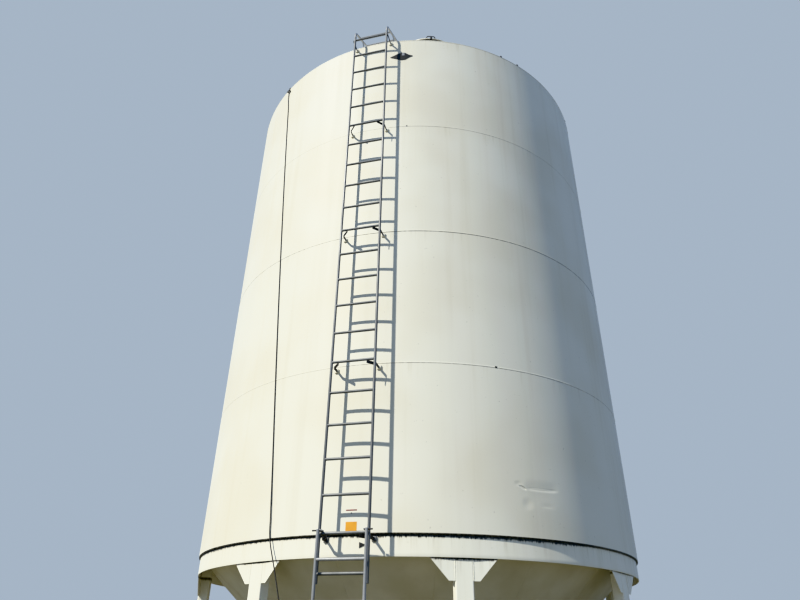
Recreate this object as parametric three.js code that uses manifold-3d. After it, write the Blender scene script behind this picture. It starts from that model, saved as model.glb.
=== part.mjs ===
// A hopper bottom grain bin: a round steel wall of four rings on a steel cone and eight legs,
// with a cone roof, a fill lid, a manhole, a side ladder, a roof ladder and a rope to the lid.
//
// Millimetres, +Z up, ground at z = 0. The ladder faces -Y. The bin is built round its own
// upright axis inside one group, which moves it back by half of what the ladder stands proud,
// so that the middle of the whole footprint lies on the origin.
//
// "Azimuth" below is the angle in degrees round the bin's axis, from the ladder toward +X.
// "Stand" is the distance of a ladder piece from the outside of the wall.

import * as THREE from "three";
import { mergeVertices } from "three/addons/utils/BufferGeometryUtils.js";
import Module from "manifold-3d";

const wasm = await Module();
wasm.setup();

// Gap kept between pieces that touch
const GAP = 0.3;

// Wall, a 16 ft bin of 5 ft rings
const WALL_R = 2438.4;
const WALL_T = 6;
const RING_H = 1524;
const RINGS = 4;
const SIDES = 64;

// Band and hopper
const BAND_BOTTOM = 2276;
const WALL_FOOT = 2458;
const RIM_T = 8;
const RIM_W = 60;
const RIM_INSIDE_WALL = 2;
const BAND_SET_BACK = 20;
const BAND_T = 8;
const HOPPER_SLOPE = 42;
const HOPPER_T = 6;
const OUTLET_R = 230;
const COLLAR_H = 90;
const COLLAR_T = 10;

// Slide gate under the hopper, closed
const GATE_HALF = 290;
const GATE_HOLE_R = 215;
const GATE_FRAME_H = 45;
const GATE_GUIDE_W = 30;
const GATE_PLATE_HALF = 250;
const GATE_PLATE_T = 8;
const GATE_PULL = 90;

// Legs, 6 in by 4 in tube, with a wing plate each side of the head
const LEGS = 8;
const LEG_W = 152;
const LEG_D = 102;
const WING_TOP_HALF = 285;
const WING_FOOT_HALF = 128.5;
const WING_H = 172;
const WING_T = 8;
const FOOT_W = 260;
const FOOT_D = 220;
const FOOT_T = 12;

// Roof
const ROOF_SLOPE = 30;
const ROOF_T = 6;
const FILL_R = 305;
const FILL_T = 6;
const FILL_H = 150;
const FILL_LID_R = 335;
const FILL_LID_RISE = 60;
const FILL_LID_PLAY = 3;
const LEVER_FROM_AXIS = 60;
const LEVER_PAST_LID = 90;
const LEVER_W = 40;
const LEVER_T = 10;
const LID_T = 10;
const MANHOLE_AZ = 18.1;
const MANHOLE_R = 255;
const MANHOLE_T = 6;
const MANHOLE_FROM_EAVE = 400;
const MANHOLE_H = 95;
const MANHOLE_LID_R = 275;

// Side ladder
const RUNG_STEP = 304.8;
const TOP_RUNG_Z = 8535;
const RUNG_D = 26.7;
const RUNG_SIDES = 12;
const RAIL_X = 212.5;
const RAIL_D = 26.7;
const RAIL_SIDES = 16;
const LADDER_STAND = 137;
const LADDER_FOOT_Z = 2060;
const RUNGS_PER_RING = 5;
const SPLICE_ABOVE_RUNG = 150;
const LADDER_HEAD_Z = 8600;

// Roof ladder, the side ladder's rails bent over the eave
const BEND_R = 80;
const BEND_ABOVE_JOINT = 40;
const BEND_STEPS = 8;
const ROOF_LADDER_SLOPE = 33;
const ROOF_LADDER_LENGTH = 2320;
const ROOF_FIRST_RUNG = 165;
const ROOF_RUNGS = 7;
const ROOF_FEET = [300, 1150, 2000];
const ROOF_FOOT_W = 40;
const ROOF_FOOT_T = 6;
const ROOF_FOOT_REACH = 340;

// Lower ladder, hooked on the side ladder
const LOW_RAIL_X = 208.5;
const LOW_STAND_OFF = 47;
const LOW_TOP_Z = 2465;
const LOW_BOTTOM_Z = 250;
const LOW_FIRST_RUNG_Z = 2235;
const LOW_RUNGS = 7;
const HOOK_W = 21;
const HOOK_T = 12;

// Stand-off straps between the side ladder and the wall
const STRAP_T = 6;
const STRAP_H = 30;
const STRAP_X = 211;
const STRAP_STRAIGHT = 76;
const STRAP_END_STAND = 152;
const FLANGE_W = 40;
const FLANGE_H = 40;
const FLANGE_T = 5;
const HEAD_STRAP_Z = 8510;

// Rope from the fill lid over the eave and down the wall to a cleat on the lower ladder
const ROPE_R = 5.5;
const ROPE_SIDES = 8;
const ROPE_AZ = -34.2;
const ROPE_FOOT_AZ = -18.4;
const ROPE_OFF = 6.5;
const ROPE_OFF_EAVE = 10;
const ROPE_EAVE_START = 2250;
const ROPE_EAVE_DROP = 110;

// Rope where it hangs from the lever: [beyond the lever's end, below its height]
const ROPE_AT_LEVER = [[16, 80], [45, 160]];

// Rope on the roof: [distance from the axis, height of its middle over the roof]
const ROPE_ON_ROOF = [[540, 22], [655, 8.5], [900, 6.5], [1200, 6.5], [1500, 6.5], [1900, 6.5]];
const ROPE_NEAR_EAVE = [[2300, 6.5], [2350, 7.5], [2400, 10]];

// Rope down the wall and on to the cleat, as parts of each run
const ROPE_WALL_PARTS = [0.05, 0.1, 0.2, 0.3, 0.4, 0.5, 0.6, 0.7, 0.8, 0.9, 0.97, 1];
const ROPE_FREE_PARTS = [0.2, 0.45, 0.7, 1];
const ROPE_ROOF_STEPS = 20;
const ROPE_EAVE_STEPS = 16;
const ROPE_FALL_STEPS = 44;

// Rope guide at the eave: a flat tab with a notch, and a web under it
const GUIDE_W = 60;
const GUIDE_T = 8;
const GUIDE_REACH = 32;
const GUIDE_WEB_T = 8;
const GUIDE_WEB_REACH = 10;
const GUIDE_BELOW_EAVE = 52;
const GUIDE_WEB_H = 34;
const GUIDE_NOTCH_R = 11;

// Cleat: a stem on the rail and an upright horn
const CLEAT_Z = 1030;
const CLEAT_STEM = 26;
const CLEAT_W = 18;
const CLEAT_STEM_H = 36;
const CLEAT_HORN_T = 16;
const CLEAT_HORN_H = 140;
const CLEAT_ROPE_OFF = [14, 16, 8];

// Small dark plate under the eave, right of the ladder
const PLATE_AZ = 8.6;
const PLATE_Z = 8256;
const PLATE_W = 300;
const PLATE_H = 170;
const PLATE_T = 5;

// Sizes worked out from the above
const rad = THREE.MathUtils.degToRad;
const EAVE_Z = WALL_FOOT + RINGS * RING_H;
const BAND_R = WALL_R - BAND_SET_BACK;
const HOPPER_R = BAND_R - BAND_T - GAP;
const HOPPER_TOP_Z = WALL_FOOT - RIM_T - 2 * GAP;
const OUTLET_Z = HOPPER_TOP_Z - (HOPPER_R - OUTLET_R) * Math.tan(rad(HOPPER_SLOPE));
const LEG_FRONT = Math.sqrt(BAND_R ** 2 - WING_TOP_HALF ** 2);
const ROOF_TAN = Math.tan(rad(ROOF_SLOPE));
const ROOF_RISE_T = ROOF_T / Math.cos(rad(ROOF_SLOPE));
const ROOF_EDGE_Z = EAVE_Z + GAP;
const FILL_Z = ROOF_EDGE_Z + ROOF_RISE_T + (WALL_R - FILL_R) * ROOF_TAN;
const RAIL_R = WALL_R + LADDER_STAND;
const LOW_R = RAIL_R + LOW_STAND_OFF;
const LADDER_FRONT = LOW_R + RAIL_D / 2;
const AXIS_Y = (LADDER_FRONT - WALL_R) / 2;

// Materials
function metal(colour, roughness, metalness) {
  return new THREE.MeshStandardMaterial({ color: colour, roughness, metalness });
}

const CREAM = metal(0xe9e7da, 0.45, 0.1);
const GALVANISED = metal(0x9aa0a3, 0.5, 0.7);
const STRAP_STEEL = metal(0x3b3936, 0.6, 0.3);
const ROPE = metal(0x2b2b2c, 0.9, 0.0);
const BLACK = metal(0x1c1c1d, 0.6, 0.1);

// The bin's own group, whose Z axis is the bin's axis
const bin = new THREE.Group();
bin.position.set(0, AXIS_Y, 0);

function add(name, geometry, material, azimuth = 0) {
  const mesh = new THREE.Mesh(geometry, material);
  mesh.name = name;
  mesh.rotation.z = rad(azimuth);
  bin.add(mesh);
  return mesh;
}

// A point at an azimuth, a distance from the axis and a height
function at(azimuth, r, z) {
  return new THREE.Vector3(r * Math.sin(rad(azimuth)), -r * Math.cos(rad(azimuth)), z);
}

// A box from its lowest to its highest corner
function block(x0, x1, y0, y1, z0, z1) {
  const box = new THREE.BoxGeometry(x1 - x0, y1 - y0, z1 - z0);
  return box.translate((x0 + x1) / 2, (y0 + y1) / 2, (z0 + z1) / 2);
}

// A body turned from [radius, height] points, anticlockwise with the axis on the left
function turned(points, sides = SIDES) {
  const outline = [...points, points[0]].map(([r, z]) => new THREE.Vector2(r, z));
  return new THREE.LatheGeometry(outline, sides).rotateX(Math.PI / 2);
}

// A full body turned from [radius, height] points that start and end on the axis
function turnedFull(points, sides = SIDES) {
  const outline = points.map(([r, z]) => new THREE.Vector2(r, z));
  return new THREE.LatheGeometry(outline, sides).rotateX(Math.PI / 2);
}

// A prism of [x, y] points along Z
function prism(points, z0, z1) {
  const shape = new THREE.Shape(points.map(([x, y]) => new THREE.Vector2(x, y)));
  const body = new THREE.ExtrudeGeometry(shape, { depth: z1 - z0, bevelEnabled: false });
  return body.translate(0, 0, z0);
}

// A plate of [distance from the axis, height] points, standing across X, in front of the axis
function sidePlate(points, x0, x1) {
  const shape = new THREE.Shape(points.map(([r, z]) => new THREE.Vector2(r, z)));
  const body = new THREE.ExtrudeGeometry(shape, { depth: x1 - x0, bevelEnabled: false });
  const turn = new THREE.Matrix4().makeBasis(
    new THREE.Vector3(0, -1, 0),
    new THREE.Vector3(0, 0, 1),
    new THREE.Vector3(-1, 0, 0),
  );
  return body.applyMatrix4(turn).translate(x1, 0, 0);
}

// A round bar along X
function barAlongX(x0, x1, y, z, diameter) {
  const bar = new THREE.CylinderGeometry(diameter / 2, diameter / 2, x1 - x0, RUNG_SIDES);
  return bar.rotateZ(Math.PI / 2).translate((x0 + x1) / 2, y, z);
}

// A round rod along a smooth line through points
function rodAlong(points, steps, radius, sides) {
  const section = new THREE.Shape();
  section.absarc(0, 0, radius, 0, 2 * Math.PI, false);
  return new THREE.ExtrudeGeometry(section, {
    steps,
    curveSegments: sides / 2,
    bevelEnabled: false,
    extrudePath: new THREE.CatmullRomCurve3(points, false, "centripetal"),
  });
}

// Joining and cutting
function solid(geometry) {
  const bare = geometry.clone();
  bare.deleteAttribute("normal");
  bare.deleteAttribute("uv");
  const merged = mergeVertices(bare, 0.001);
  return new wasm.Manifold(
    new wasm.Mesh({
      numProp: 3,
      vertProperties: Float32Array.from(merged.attributes.position.array),
      triVerts: Uint32Array.from(merged.index.array),
    }),
  );
}

function geometryOf(body) {
  const mesh = body.getMesh();
  const geometry = new THREE.BufferGeometry();
  geometry.setAttribute("position", new THREE.BufferAttribute(mesh.vertProperties, 3));
  geometry.setIndex(new THREE.BufferAttribute(mesh.triVerts, 1));
  return geometry;
}

function joined(pieces) {
  return geometryOf(pieces.map(solid).reduce((sum, piece) => sum.add(piece)));
}

function cut(geometry, tool) {
  return geometryOf(solid(geometry).subtract(solid(tool)));
}

// Bodies that keep the gap to the wall, the band and the roof
function clearOfCylinder(r) {
  return turnedFull([[0, 0], [r + GAP, 0], [r + GAP, EAVE_Z + RING_H], [0, EAVE_Z + RING_H]]);
}

const wallTool = clearOfCylinder(WALL_R);
const bandTool = clearOfCylinder(BAND_R);
const roofTop = ROOF_EDGE_Z + ROOF_RISE_T + GAP / Math.cos(rad(ROOF_SLOPE));
const roofTool = turnedFull([
  [0, EAVE_Z - RING_H],
  [WALL_R, EAVE_Z - RING_H],
  [WALL_R, roofTop],
  [0, roofTop + WALL_R * ROOF_TAN],
]);

// Wall rings
for (let i = 0; i < RINGS; i += 1) {
  const foot = WALL_FOOT + i * RING_H + (i > 0 ? GAP : 0);
  const head = WALL_FOOT + (i + 1) * RING_H;
  add(
    `wall_ring_${i + 1}`,
    turned([[WALL_R, foot], [WALL_R, head], [WALL_R - WALL_T, head], [WALL_R - WALL_T, foot]]),
    CREAM,
  );
}

// Hopper rim, the flat ring that the wall stands on
const rimFoot = WALL_FOOT - GAP - RIM_T;
const rimHead = WALL_FOOT - GAP;
const rimOut = WALL_R - RIM_INSIDE_WALL;
const rimIn = WALL_R - RIM_W;
add(
  "hopper_rim",
  turned([[rimOut, rimFoot], [rimOut, rimHead], [rimIn, rimHead], [rimIn, rimFoot]]),
  CREAM,
);

// Band round the head of the hopper
const bandHead = rimFoot - GAP;
const bandIn = BAND_R - BAND_T;
add(
  "hopper_band",
  turned([[BAND_R, BAND_BOTTOM], [BAND_R, bandHead], [bandIn, bandHead], [bandIn, BAND_BOTTOM]]),
  CREAM,
);

// Hopper cone
const hopperAcross = HOPPER_T / Math.sin(rad(HOPPER_SLOPE));
add(
  "hopper_cone",
  turned([
    [OUTLET_R, OUTLET_Z],
    [HOPPER_R, HOPPER_TOP_Z],
    [HOPPER_R - hopperAcross, HOPPER_TOP_Z],
    [OUTLET_R - hopperAcross, OUTLET_Z],
  ]),
  CREAM,
);

// Round neck under the cone
const collarHead = OUTLET_Z - GAP;
const collarFoot = collarHead - COLLAR_H;
const collarIn = OUTLET_R - COLLAR_T;
add(
  "outlet_neck",
  turned([[OUTLET_R, collarFoot], [OUTLET_R, collarHead], [collarIn, collarHead], [collarIn, collarFoot]]),
  CREAM,
);

// Slide gate: a square frame with two guides under it, and the closed gate plate in the guides
const frameHead = collarFoot - GAP;
const frameFoot = frameHead - GATE_FRAME_H;
const plateHead = frameFoot - GAP;
const plateFoot = plateHead - GATE_PLATE_T;
const guideFoot = plateFoot - GAP - GATE_PLATE_T;

function gateFrame() {
  const square = new THREE.Shape([
    new THREE.Vector2(-GATE_HALF, -GATE_HALF),
    new THREE.Vector2(GATE_HALF, -GATE_HALF),
    new THREE.Vector2(GATE_HALF, GATE_HALF),
    new THREE.Vector2(-GATE_HALF, GATE_HALF),
  ]);
  const hole = new THREE.Path().absarc(0, 0, GATE_HOLE_R, 0, 2 * Math.PI, true);
  square.holes.push(hole);
  const frame = new THREE.ExtrudeGeometry(square, {
    depth: GATE_FRAME_H,
    bevelEnabled: false,
    curveSegments: SIDES / 2,
  }).translate(0, 0, frameFoot);
  const pieces = [frame];
  for (const side of [-1, 1]) {
    const out = side * GATE_HALF;
    const inner = side * (GATE_PLATE_HALF + GAP);
    const lip = side * (GATE_PLATE_HALF - GATE_GUIDE_W);
    const web = [Math.min(out, inner), Math.max(out, inner)];
    const foot = [Math.min(out, lip), Math.max(out, lip)];
    pieces.push(block(...web, -GATE_HALF, GATE_HALF, guideFoot, frameFoot + 1));
    pieces.push(block(...foot, -GATE_HALF, GATE_HALF, guideFoot, plateFoot - GAP));
  }
  return joined(pieces);
}

function gatePlate() {
  const half = GATE_PLATE_HALF;
  const front = -GATE_HALF - GATE_PULL;
  return joined([
    block(-half, half, front, GATE_PLATE_HALF, plateFoot, plateHead),
    block(-half / 2, half / 2, front - GATE_PLATE_T, front + 1, plateFoot - GATE_GUIDE_W, plateHead),
  ]);
}

add("slide_gate_frame", gateFrame(), GALVANISED);
add("slide_gate_plate", gatePlate(), GALVANISED);

// Legs: tube cut to the slope of the cone, a wing plate each side of its head, a foot plate
function leg() {
  const back = LEG_FRONT - LEG_D;
  const slope = Math.tan(rad(HOPPER_SLOPE));
  const clear = GAP / Math.cos(rad(HOPPER_SLOPE));
  const headAt = (r) => HOPPER_TOP_Z - (HOPPER_R - r) * slope - clear;
  const tube = sidePlate(
    [[back, 0], [LEG_FRONT, 0], [LEG_FRONT, headAt(LEG_FRONT)], [back, headAt(back)]],
    -LEG_W / 2,
    LEG_W / 2,
  );
  const wingHead = BAND_BOTTOM - GAP;
  const wingFoot = wingHead - WING_H;
  const wings = new THREE.ExtrudeGeometry(
    new THREE.Shape([
      new THREE.Vector2(-WING_FOOT_HALF, wingFoot),
      new THREE.Vector2(WING_FOOT_HALF, wingFoot),
      new THREE.Vector2(WING_TOP_HALF, wingHead),
      new THREE.Vector2(-WING_TOP_HALF, wingHead),
    ]),
    { depth: WING_T, bevelEnabled: false },
  );
  wings.rotateX(Math.PI / 2).translate(0, -LEG_FRONT + WING_T, 0);
  const middle = -(LEG_FRONT + back) / 2;
  const foot = block(-FOOT_W / 2, FOOT_W / 2, middle - FOOT_D / 2, middle + FOOT_D / 2, 0, FOOT_T);
  return joined([tube, wings, foot]);
}

const legGeometry = leg();
const legStep = 360 / LEGS;
for (let i = 0; i < LEGS; i += 1) {
  add(`leg_${i + 1}`, legGeometry.clone(), CREAM, (i + 0.5) * legStep);
}

// Roof cone, with a hole for the manhole collar
const manholeCentreR = WALL_R - MANHOLE_FROM_EAVE;
const manholeCentreZ = ROOF_EDGE_Z + ROOF_RISE_T + MANHOLE_FROM_EAVE * ROOF_TAN;

// Puts a body made round Z at the manhole, square to the roof
function onRoof(geometry) {
  geometry.rotateX(rad(ROOF_SLOPE));
  return geometry.translate(0, -manholeCentreR, manholeCentreZ);
}

const roofShell = turned([
  [WALL_R, ROOF_EDGE_Z],
  [WALL_R, ROOF_EDGE_Z + ROOF_RISE_T],
  [FILL_R + GAP, FILL_Z - GAP * ROOF_TAN],
  [FILL_R + GAP, FILL_Z - GAP * ROOF_TAN - ROOF_RISE_T],
]);
const manholeHole = onRoof(
  new THREE.CylinderGeometry(MANHOLE_R + GAP, MANHOLE_R + GAP, 4 * MANHOLE_H, SIDES / 2).rotateX(Math.PI / 2),
).rotateZ(rad(MANHOLE_AZ));
add("roof_cone", cut(roofShell, manholeHole), CREAM);

// Fill collar and its lid at the top of the roof
const fillHead = FILL_Z + FILL_H;
const fillFoot = FILL_Z - FILL_H / 3;
const fillIn = FILL_R - FILL_T;
add(
  "fill_collar",
  turned([[FILL_R, fillFoot], [FILL_R, fillHead], [fillIn, fillHead], [fillIn, fillFoot]], SIDES / 2),
  CREAM,
);
const lidFoot = fillHead + GAP;
const lidTop = lidFoot + LID_T + FILL_LID_RISE;
const lidSkirt = lidFoot - 2 * LID_T;
add(
  "fill_lid",
  turnedFull(
    [
      [0, lidFoot],
      [FILL_R + FILL_LID_PLAY, lidFoot],
      [FILL_R + FILL_LID_PLAY, lidSkirt],
      [FILL_LID_R, lidSkirt],
      [FILL_LID_R, lidFoot + LID_T],
      [0, lidTop],
    ],
    SIDES / 2,
  ),
  CREAM,
);

// Lever on the lid that the rope pulls, lying on the slope of the lid
const leverRise = Math.atan2(FILL_LID_RISE, FILL_LID_R);
const leverEnd = FILL_LID_R + LEVER_PAST_LID;
function lidLever() {
  const heightAt = (r) => lidTop - r * Math.tan(leverRise) + GAP / Math.cos(leverRise);
  const outline = [
    [LEVER_FROM_AXIS, heightAt(LEVER_FROM_AXIS)],
    [leverEnd, heightAt(leverEnd)],
    [leverEnd, heightAt(leverEnd) + LEVER_T],
    [LEVER_FROM_AXIS, heightAt(LEVER_FROM_AXIS) + LEVER_T],
  ];
  return sidePlate(outline, -LEVER_W / 2, LEVER_W / 2);
}
add("lid_lever", lidLever(), GALVANISED, ROPE_AZ);

// Manhole collar and lid
const manholeIn = MANHOLE_R - MANHOLE_T;
add(
  "manhole_collar",
  onRoof(
    turned(
      [
        [MANHOLE_R, -MANHOLE_H / 2],
        [MANHOLE_R, MANHOLE_H],
        [manholeIn, MANHOLE_H],
        [manholeIn, -MANHOLE_H / 2],
      ],
      SIDES / 2,
    ),
  ),
  CREAM,
  MANHOLE_AZ,
);
const manholeLidFoot = MANHOLE_H + GAP;
add(
  "manhole_lid",
  onRoof(
    turnedFull(
      [
        [0, manholeLidFoot],
        [MANHOLE_LID_R, manholeLidFoot],
        [MANHOLE_LID_R, manholeLidFoot + LID_T],
        [0, manholeLidFoot + 2 * LID_T],
      ],
      SIDES / 2,
    ),
  ),
  CREAM,
  MANHOLE_AZ,
);

// Side ladder: pipe rails with round rungs welded between them
function rung(z, r = RAIL_R, half = RAIL_X) {
  return barAlongX(-half, half, -r, z, RUNG_D);
}

function pipe(x, r, foot, head) {
  const length = head - foot;
  const geometry = new THREE.CylinderGeometry(RAIL_D / 2, RAIL_D / 2, length, RAIL_SIDES);
  return geometry.rotateX(Math.PI / 2).translate(x, -r, foot + length / 2);
}

function ladderSection(foot, head) {
  const pieces = [-1, 1].map((side) => pipe(side * RAIL_X, RAIL_R, foot, head));
  for (let z = TOP_RUNG_Z; z > foot; z -= RUNG_STEP) {
    if (z < head) {
      pieces.push(rung(z));
    }
  }
  return joined(pieces);
}

// Rungs that a stand-off strap is fixed under, from the band up
const strapRungs = [];
for (let i = RINGS; i > 0; i -= 1) {
  strapRungs.push(TOP_RUNG_Z - i * RUNGS_PER_RING * RUNG_STEP);
}
const splices = strapRungs.slice(1).map((z) => z + SPLICE_ABOVE_RUNG);
const sectionEnds = [LADDER_FOOT_Z, ...splices, LADDER_HEAD_Z];
for (let i = 0; i + 1 < sectionEnds.length; i += 1) {
  const foot = sectionEnds[i] + (i > 0 ? GAP : 0);
  add(`ladder_section_${i + 1}`, ladderSection(foot, sectionEnds[i + 1]), GALVANISED);
}

// Roof ladder: rails that go on up from the side ladder, bend over and rise a little from the roof
function roofLadder() {
  const turn = rad(90 - ROOF_LADDER_SLOPE);
  const along = new THREE.Vector2(-Math.sin(turn), Math.cos(turn));
  const square = new THREE.Vector2(Math.cos(turn), Math.sin(turn));
  const bendZ = LADDER_HEAD_Z + BEND_ABOVE_JOINT;
  const bendEnd = new THREE.Vector2(
    RAIL_R - BEND_R + BEND_R * Math.cos(turn),
    bendZ + BEND_R * Math.sin(turn),
  );
  const onLine = (distance, off) =>
    bendEnd.clone().addScaledVector(along, distance).addScaledVector(square, off);
  const bend = [new THREE.Vector2(RAIL_R, LADDER_HEAD_Z + GAP)];
  for (let i = 0; i <= BEND_STEPS; i += 1) {
    const angle = (turn * i) / BEND_STEPS;
    const r = RAIL_R - BEND_R + BEND_R * Math.cos(angle);
    bend.push(new THREE.Vector2(r, bendZ + BEND_R * Math.sin(angle)));
  }
  bend.push(onLine(RAIL_D, 0));
  const pieces = [];
  for (const side of [-1, 1]) {
    const x = side * RAIL_X;
    const line = bend.map((point) => new THREE.Vector3(x, -point.x, point.y));
    pieces.push(rodAlong(line, 2 * BEND_STEPS, RAIL_D / 2, RAIL_SIDES));
    pieces.push(pipeBetween(x, onLine(RAIL_D / 2, 0), onLine(ROOF_LADDER_LENGTH, 0)));
    for (const distance of ROOF_FEET) {
      const foot = [
        onLine(distance - ROOF_FOOT_W / 2, 0),
        onLine(distance + ROOF_FOOT_W / 2, 0),
        onLine(distance + ROOF_FOOT_W / 2, -ROOF_FOOT_REACH),
        onLine(distance - ROOF_FOOT_W / 2, -ROOF_FOOT_REACH),
      ];
      const outline = foot.map((point) => point.toArray()).reverse();
      pieces.push(sidePlate(outline, x - ROOF_FOOT_T / 2, x + ROOF_FOOT_T / 2));
    }
  }
  for (let i = 0; i < ROOF_RUNGS; i += 1) {
    const place = onLine(ROOF_FIRST_RUNG + i * RUNG_STEP, 0);
    pieces.push(rung(place.y, place.x));
  }
  return cut(joined(pieces), roofTool);
}

// Length of pipe between two points, each given as distance from the axis and height
function pipeBetween(x, start, end) {
  const step = end.clone().sub(start);
  const geometry = new THREE.CylinderGeometry(RAIL_D / 2, RAIL_D / 2, step.length(), RAIL_SIDES);
  geometry.rotateX(Math.atan2(step.y, -step.x));
  return geometry.translate(x, -(start.x + end.x) / 2, (start.y + end.y) / 2);
}
add("roof_ladder", roofLadder(), GALVANISED);

// Lower ladder: pipe rails in front of the side ladder's, with hooks over its lowest strap rung
function lowerLadder() {
  const hookZ = strapRungs[0] + RUNG_D / 2 + GAP;
  const hookEnd = RAIL_R - RUNG_D / 2;
  const pieces = [];
  for (const side of [-1, 1]) {
    pieces.push(pipe(side * LOW_RAIL_X, LOW_R, LOW_BOTTOM_Z, LOW_TOP_Z));
    const inner = side * (RAIL_X - RAIL_D / 2 - GAP);
    const far = inner - side * HOOK_W;
    const span = [Math.min(inner, far), Math.max(inner, far)];
    pieces.push(block(...span, -LOW_R, -hookEnd, hookZ, hookZ + HOOK_T));
  }
  for (let i = 0; i < LOW_RUNGS; i += 1) {
    pieces.push(rung(LOW_FIRST_RUNG_Z - i * RUNG_STEP, LOW_R, LOW_RAIL_X));
  }
  return joined(pieces);
}
add("lower_ladder", lowerLadder(), GALVANISED);

// Stand-off straps. One side is made and mirrored: out from the wall, then bent in under a rung
function mirroredX(geometry) {
  const mirror = geometry.clone().scale(-1, 1, 1);
  const index = mirror.index.array;
  for (let i = 0; i < index.length; i += 3) {
    [index[i], index[i + 1]] = [index[i + 1], index[i]];
  }
  return mirror;
}

function bentStrap(rungZ, tool, surfaceR) {
  const head = rungZ - RUNG_D / 2 - GAP;
  const foot = head - STRAP_H;
  const inX = STRAP_X - (STRAP_END_STAND - STRAP_STRAIGHT);
  const side = STRAP_T / Math.SQRT2;
  const bendY = -(WALL_R + STRAP_STRAIGHT);
  const endY = -(WALL_R + STRAP_END_STAND);
  const rootY = -(surfaceR - FLANGE_W);
  const bar = prism(
    [
      [STRAP_X, rootY],
      [STRAP_X, bendY],
      [inX + side, endY - side],
      [inX, endY],
      [STRAP_X - STRAP_T, bendY + side / 2],
      [STRAP_X - STRAP_T, rootY],
    ].reverse(),
    foot,
    head,
  );
  const middle = (foot + head) / 2;
  const flange = block(
    STRAP_X - FLANGE_W / 2,
    STRAP_X + FLANGE_W / 2,
    -(surfaceR + FLANGE_T),
    rootY,
    middle - FLANGE_H / 2,
    middle + FLANGE_H / 2,
  );
  return cut(joined([bar, flange]), tool);
}

function headStrap() {
  const x0 = RAIL_X + RAIL_D / 2 + GAP;
  const foot = HEAD_STRAP_Z - STRAP_H / 2;
  const rootY = -(WALL_R - FLANGE_W);
  const bar = block(x0, x0 + STRAP_T, -(WALL_R + STRAP_END_STAND), rootY, foot, foot + STRAP_H);
  const flange = block(
    x0 + STRAP_T / 2 - FLANGE_W / 2,
    x0 + STRAP_T / 2 + FLANGE_W / 2,
    -(WALL_R + FLANGE_T),
    rootY,
    HEAD_STRAP_Z - FLANGE_H / 2,
    HEAD_STRAP_Z + FLANGE_H / 2,
  );
  return cut(joined([bar, flange]), wallTool);
}

strapRungs.forEach((z, i) => {
  const atBand = i === 0;
  const right = bentStrap(z, atBand ? bandTool : wallTool, atBand ? BAND_R : WALL_R);
  add(`ladder_strap_right_${i + 1}`, right, STRAP_STEEL);
  add(`ladder_strap_left_${i + 1}`, mirroredX(right), STRAP_STEEL);
});
const topStrap = headStrap();
add("ladder_strap_right_5", topStrap, STRAP_STEEL);
add("ladder_strap_left_5", mirroredX(topStrap), STRAP_STEEL);

// Small dark plate with four points, flat on the wall
const plate = new THREE.ExtrudeGeometry(
  new THREE.Shape([
    new THREE.Vector2(-PLATE_W / 2, 0),
    new THREE.Vector2(0, -PLATE_H / 2),
    new THREE.Vector2(PLATE_W / 2, 0),
    new THREE.Vector2(0, PLATE_H / 2),
  ]),
  { depth: 4 * PLATE_T, bevelEnabled: false },
);
plate.rotateX(Math.PI / 2).translate(0, -(WALL_R + PLATE_T) + 4 * PLATE_T, PLATE_Z);
add("eave_plate", cut(plate.rotateZ(rad(PLATE_AZ)), wallTool), BLACK);

// Rope guide at the eave: a tab with a round notch that the rope runs down through
function ropeGuide() {
  const end = -(WALL_R + GUIDE_REACH);
  const head = EAVE_Z - GUIDE_BELOW_EAVE;
  const half = GUIDE_W / 2;
  const tab = block(-half, half, end, -(WALL_R - half), head - GUIDE_T, head);
  const webHalf = GUIDE_WEB_T / 2;
  const webFoot = head - GUIDE_T / 2 - GUIDE_WEB_H;
  const web = block(-webHalf, webHalf, end, end + GUIDE_WEB_REACH, webFoot, head - 1);
  const notch = new THREE.CylinderGeometry(GUIDE_NOTCH_R, GUIDE_NOTCH_R, 5 * GUIDE_T, 2 * ROPE_SIDES);
  notch.rotateX(Math.PI / 2).translate(0, -(WALL_R + ROPE_OFF_EAVE), head - GUIDE_T / 2);
  const body = joined([tab, web]).rotateZ(rad(ROPE_AZ));
  return cut(cut(body, wallTool), notch.rotateZ(rad(ROPE_AZ)));
}
add("rope_guide", ropeGuide(), GALVANISED);

// Cleat on the lower ladder's left rail that the rope is made fast to
function ropeCleat() {
  const x = -LOW_RAIL_X - RAIL_D / 2 - GAP;
  const near = -LOW_R - CLEAT_W / 2;
  const far = -LOW_R + CLEAT_W / 2;
  const stem = CLEAT_STEM_H / 2;
  const horn = CLEAT_HORN_H / 2;
  const hornX = x - CLEAT_STEM + 1;
  return joined([
    block(x - CLEAT_STEM, x, near, far, CLEAT_Z - stem, CLEAT_Z + stem),
    block(hornX - CLEAT_HORN_T, hornX, near, far, CLEAT_Z - horn, CLEAT_Z + horn),
  ]);
}
add("rope_cleat", ropeCleat(), GALVANISED);

// Rope, in three lengths that meet face to face: on the roof, over the eave, and down the wall

// Height of the rope's middle over the roof, at a distance from the axis
function ropeOnRoof(r, off) {
  const surface = ROOF_EDGE_Z + ROOF_RISE_T + (WALL_R - r) * ROOF_TAN;
  return at(ROPE_AZ, r, surface + off / Math.cos(rad(ROOF_SLOPE)));
}

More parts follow.
